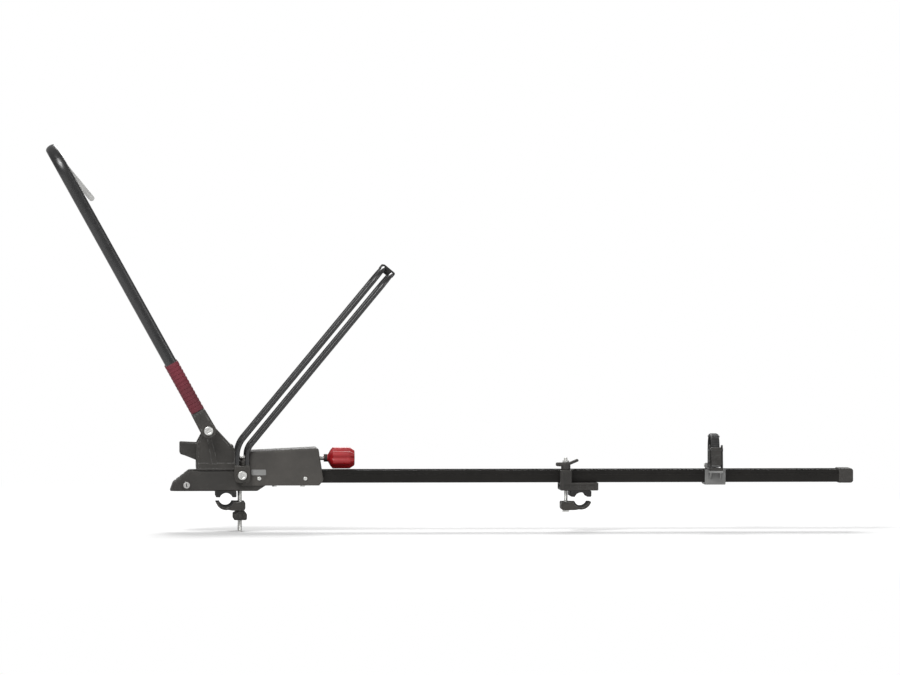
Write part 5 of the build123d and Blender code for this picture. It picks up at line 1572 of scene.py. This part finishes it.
def make_anchor_pin():
    """A pin with a plain head and a socket head."""
    start, stop = low("strap_anchor_pin", 0) - strap_x, high("strap_anchor_pin", 0) - strap_x
    head, thick, key, key_depth, dome = 0.005, 0.002, 0.002, 0.0014, 0.0008
    surfaces = [disc(anchor, X, 0.003, start + 0.001, stop - 0.001),
                socket_head(anchor, X, head, stop - thick, stop, key, key_depth, dome),
                disc(anchor, X, head, start, start + thick, dome)]
    piece("anchor_bolt", together(*surfaces), "strap_anchor_pin")


def make_lock():
    """The sleeve round the lock and its core with a key slot."""
    centre = joint_place["lock_turn"] * (1, 0, 1)
    face, back = -low("lock_sleeve", 1), -high("lock_sleeve", 1)
    radius, play, slot_wide, slot_high, slot_deep = 0.007, 0.00005, 0.001, 0.004, 0.0025
    sleeve = bushing(centre, -Y, 0.010, radius + play, back, face, 0.0009)
    refinish(piece("lock_ring", sleeve, "lock_sleeve"), "base_black")
    core = piece("lock_barrel", disc(centre, -Y, radius - play, back, face, 0.0006), "lock_core")
    slot = centre[[0, 2]] + box_outline(-slot_wide, slot_wide, -slot_high, slot_high, 0.0006, 3)
    cut_away(core, plate(FACING_Y, slot, -face - 0.002, -face + slot_deep, 0))


def make_inner_parts():
    """The construction nodes that stay as they are get their finishes."""
    for node, made in frame["nodes"].items():
        if made.hide_render:
            continue
        if not made.material_slots:
            made.data.materials.append(None)
        for slot in made.material_slots:
            slot.link = "OBJECT"
            slot.material = finish(slot_of_node[node])


# Stage
def make_floor_material(looks):
    """A pale floor near the carrier that turns into the backdrop's own brightness far away."""
    material, tree = empty_material("floor")
    place = add(tree, "TexCoord").outputs["Object"]
    distance = add(tree, "VectorMath", {0: place}, operation="LENGTH").outputs["Value"]
    seen = add(tree, "LightPath").outputs["Is Camera Ray"]
    far = product(tree, ranged(tree, distance, 1.3, 2.8), seen)
    mottle = noise(tree, place, 30.0, 4.0)
    tint = mixed(tree, mottle, colour(c * 0.98 for c in looks.ground), colour(looks.ground))
    diffuse = add(tree, "BsdfPrincipled", {"Base Color": tint, "Roughness": 0.7})
    glow = add(tree, "Emission", {"Color": colour((looks.backdrop,) * 3), "Strength": 1.0})
    blend = add(tree, "MixShader", {0: far, 1: diffuse.outputs[0], 2: glow.outputs[0]})
    add(tree, "OutputMaterial", {"Surface": blend.outputs[0]})
    return material


def make_sky(looks):
    """Even light from all round, behind a brighter backdrop that only the camera sees."""
    world = bpy.data.worlds.new("sky")
    world.use_nodes = True
    tree = world.node_tree
    seen = add(tree, "LightPath").outputs["Is Camera Ray"]
    strength = ranged(tree, seen, 0.0, 1.0, looks.sky, looks.backdrop)
    background = tree.nodes["Background"]
    background.inputs["Color"].default_value = colour((1.0, 1.0, 1.0))
    tree.links.new(strength, background.inputs["Strength"])
    return world


def add_lamp(name, place, aim, size, power):
    """A soft square lamp that faces a point."""
    lamp = bpy.data.lights.new(name, "AREA")
    lamp.shape, lamp.size, lamp.energy = "SQUARE", size, power
    made = bpy.data.objects.new(name, lamp)
    made.location = place
    made.rotation_euler = (Vector(aim) - Vector(place)).to_track_quat("-Z", "Y").to_euler()
    bpy.context.scene.collection.objects.link(made)


def make_stage(looks):
    """A wide floor under the carrier, the sky, three lamps and the camera."""
    scene = bpy.context.scene
    half, height = 150.0, cad_low[2] - 0.0004
    corners = height * Z + half * np.array([(-1, -1, 0), (1, -1, 0), (1, 1, 0), (-1, 1, 0)])
    floor = new_object("floor", (corners, [[0, 1, 2, 3]]))
    floor.data.materials.append(make_floor_material(looks))
    scene.world = make_sky(looks)
    centre = (cad_low + cad_high) / 2
    for name, place, size, power in (("key", (-1.6, -3.2, 3.6), 2.0, 190),
                                     ("fill", (3.4, -2.6, 1.2), 1.6, 34),
                                     ("rim", (0.8, 3.2, 3.0), 2.2, 150)):
        add_lamp(name, place, centre, size, power)
    camera = bpy.data.cameras.new("camera")
    camera.lens, camera.sensor_width = looks.lens, 36
    camera.clip_start, camera.clip_end = 0.1, 400
    made = bpy.data.objects.new("camera", camera)
    level = cos(looks.elevation)
    back = Vector((sin(looks.azimuth) * level, -cos(looks.azimuth) * level, sin(looks.elevation)))
    made.location = centre + back * looks.distance
    made.rotation_euler = (-back).to_track_quat("-Z", "Y").to_euler()
    scene.collection.objects.link(made)
    scene.camera = made
    scene.view_settings.view_transform = "Standard"


# Operators
class CARRIER_OT_tray(Operator):
    """Make the channel that the wheels stand in"""
    bl_idname = "carrier.tray"
    bl_label = "Tray"

    def execute(self, context):
        make_tray(context.scene.carrier_tray)
        return {"FINISHED"}


class CARRIER_OT_end_cap(Operator):
    """Make the cap on the tray's rear end"""
    bl_idname = "carrier.end_cap"
    bl_label = "End cap"

    def execute(self, context):
        make_end_cap()
        return {"FINISHED"}


class CARRIER_OT_base(Operator):
    """Make the head's base with its nose and bulkhead"""
    bl_idname = "carrier.base"
    bl_label = "Head base"

    def execute(self, context):
        make_base(context.scene.carrier_head)
        return {"FINISHED"}


class CARRIER_OT_cover(Operator):
    """Make the head's cover and its screws"""
    bl_idname = "carrier.cover"
    bl_label = "Head cover"

    def execute(self, context):
        make_cover(context.scene.carrier_head)
        make_cover_screws()
        return {"FINISHED"}


class CARRIER_OT_cradle(Operator):
    """Make the front wheel's cradle and its rubber lining"""
    bl_idname = "carrier.cradle"
    bl_label = "Wheel cradle"

    def execute(self, context):
        make_cradle()
        make_cradle_pad()
        return {"FINISHED"}


class CARRIER_OT_carriage(Operator):
    """Make the casting that carries the front hoop"""
    bl_idname = "carrier.carriage"
    bl_label = "Carriage"

    def execute(self, context):
        make_carriage()
        return {"FINISHED"}


class CARRIER_OT_knob(Operator):
    """Make the tightening screw, its knob and plug"""
    bl_idname = "carrier.knob"
    bl_label = "Screw and knob"

    def execute(self, context):
        make_screw()
        make_knob(context.scene.carrier_knob)
        return {"FINISHED"}


class CARRIER_OT_front_hoop(Operator):
    """Make the front hoop's tube, feet, sleeves and pivot bolts"""
    bl_idname = "carrier.front_hoop"
    bl_label = "Front hoop"

    def execute(self, context):
        make_hoop_tube()
        make_hoop_feet(context.scene.carrier_hoop)
        make_sleeves(context.scene.carrier_hoop)
        make_pins("front_pivot_bolts", "front_hoop_pins", hoop_pivot, "front_hoop_feet",
                  0.046, tower_far, 0.0677)
        return {"FINISHED"}


class CARRIER_OT_hoop_pad(Operator):
    """Make the pad under the front hoop's crown and the tyre guides beside it"""
    bl_idname = "carrier.hoop_pad"
    bl_label = "Hoop pad and guides"

    def execute(self, context):
        make_hoop_pad()
        make_guides()
        return {"FINISHED"}


class CARRIER_OT_rear_hoop(Operator):
    """Make the rear hoop's rods, feet, pad and pivot bolts"""
    bl_idname = "carrier.rear_hoop"
    bl_label = "Rear hoop"

    def execute(self, context):
        make_rods()
        make_rear_feet(context.scene.carrier_hoop)
        make_pins("rear_pivot_bolts", "rear_hoop_pins", rear_pivot, "rear_hoop_feet",
                  0.038, 0.053, 0.056)
        make_rear_pad()
        return {"FINISHED"}


class CARRIER_OT_front_clamp(Operator):
    """Make the pads, claws, studs and hand knobs round the front bar"""
    bl_idname = "carrier.front_clamp"
    bl_label = "Front clamp"

    def execute(self, context):
        make_hand_knobs(context.scene.carrier_knob)
        make_studs()
        make_front_grips()
        return {"FINISHED"}


class CARRIER_OT_rear_clamp(Operator):
    """Make the rear clamp with its block, claw, bolt and lever"""
    bl_idname = "carrier.rear_clamp"
    bl_label = "Rear clamp"

    def execute(self, context):
        make_rear_grip()
        make_draw_bolt()
        make_lever()
        return {"FINISHED"}


class CARRIER_OT_strap(Operator):
    """Make the saddle, the ladder strap and the rim pad"""
    bl_idname = "carrier.strap"
    bl_label = "Wheel strap"

    def execute(self, context):
        make_saddle()
        make_anchor_pin()
        make_strap(context.scene.carrier_strap)
        make_rim_pad()
        return {"FINISHED"}


class CARRIER_OT_buckle(Operator):
    """Make the ratchet buckle with its lever and release tab"""
    bl_idname = "carrier.buckle"
    bl_label = "Buckle"

    def execute(self, context):
        make_buckle()
        make_buckle_lever()
        make_release_tab()
        return {"FINISHED"}


class CARRIER_OT_lock(Operator):
    """Make the lock in the nose"""
    bl_idname = "carrier.lock"
    bl_label = "Lock"

    def execute(self, context):
        make_lock()
        return {"FINISHED"}


class CARRIER_OT_inner_parts(Operator):
    """Give the pieces that keep their construction shape their finishes"""
    bl_idname = "carrier.inner_parts"
    bl_label = "Inner parts"

    def execute(self, context):
        make_inner_parts()
        return {"FINISHED"}


class CARRIER_OT_stage(Operator):
    """Make the floor, the sky, the lamps and the camera"""
    bl_idname = "carrier.stage"
    bl_label = "Stage"

    def execute(self, context):
        make_stage(context.scene.carrier_stage)
        return {"FINISHED"}


OPERATORS = (CARRIER_OT_tray, CARRIER_OT_end_cap, CARRIER_OT_base, CARRIER_OT_cover,
             CARRIER_OT_cradle, CARRIER_OT_carriage, CARRIER_OT_knob, CARRIER_OT_front_hoop,
             CARRIER_OT_hoop_pad, CARRIER_OT_rear_hoop, CARRIER_OT_front_clamp,
             CARRIER_OT_rear_clamp, CARRIER_OT_strap, CARRIER_OT_buckle, CARRIER_OT_lock,
             CARRIER_OT_inner_parts, CARRIER_OT_stage)


class CARRIER_PT_panel(Panel):
    """Lists the carrier's settings and pieces"""
    bl_idname = "CARRIER_PT_panel"
    bl_label = "Bike carrier"
    bl_space_type = "VIEW_3D"
    bl_region_type = "UI"
    bl_category = "Carrier"

    def draw(self, context):
        for group in SETTINGS:
            values = settings(group)
            section = self.layout.box()
            section.label(text=group.capitalize())
            for name in values.__annotations__:
                section.prop(values, name)
        for operator in OPERATORS:
            self.layout.operator(operator.bl_idname)


def register():
    """Adds the settings, the operators and the panel."""
    for group, kind in SETTINGS.items():
        bpy.utils.register_class(kind)
        setattr(bpy.types.Scene, "carrier_" + group, PointerProperty(type=kind))
    for operator in OPERATORS:
        bpy.utils.register_class(operator)
    bpy.utils.register_class(CARRIER_PT_panel)


def unregister():
    """Takes away what register added."""
    bpy.utils.unregister_class(CARRIER_PT_panel)
    for operator in reversed(OPERATORS):
        bpy.utils.unregister_class(operator)
    for group, kind in SETTINGS.items():
        delattr(bpy.types.Scene, "carrier_" + group)
        bpy.utils.unregister_class(kind)


def main():
    """Makes every piece and the stage through the operators."""
    register()
    for operator in OPERATORS:
        family, name = operator.bl_idname.split(".")
        getattr(getattr(bpy.ops, family), name)()


if __name__ == "__main__":
    main()
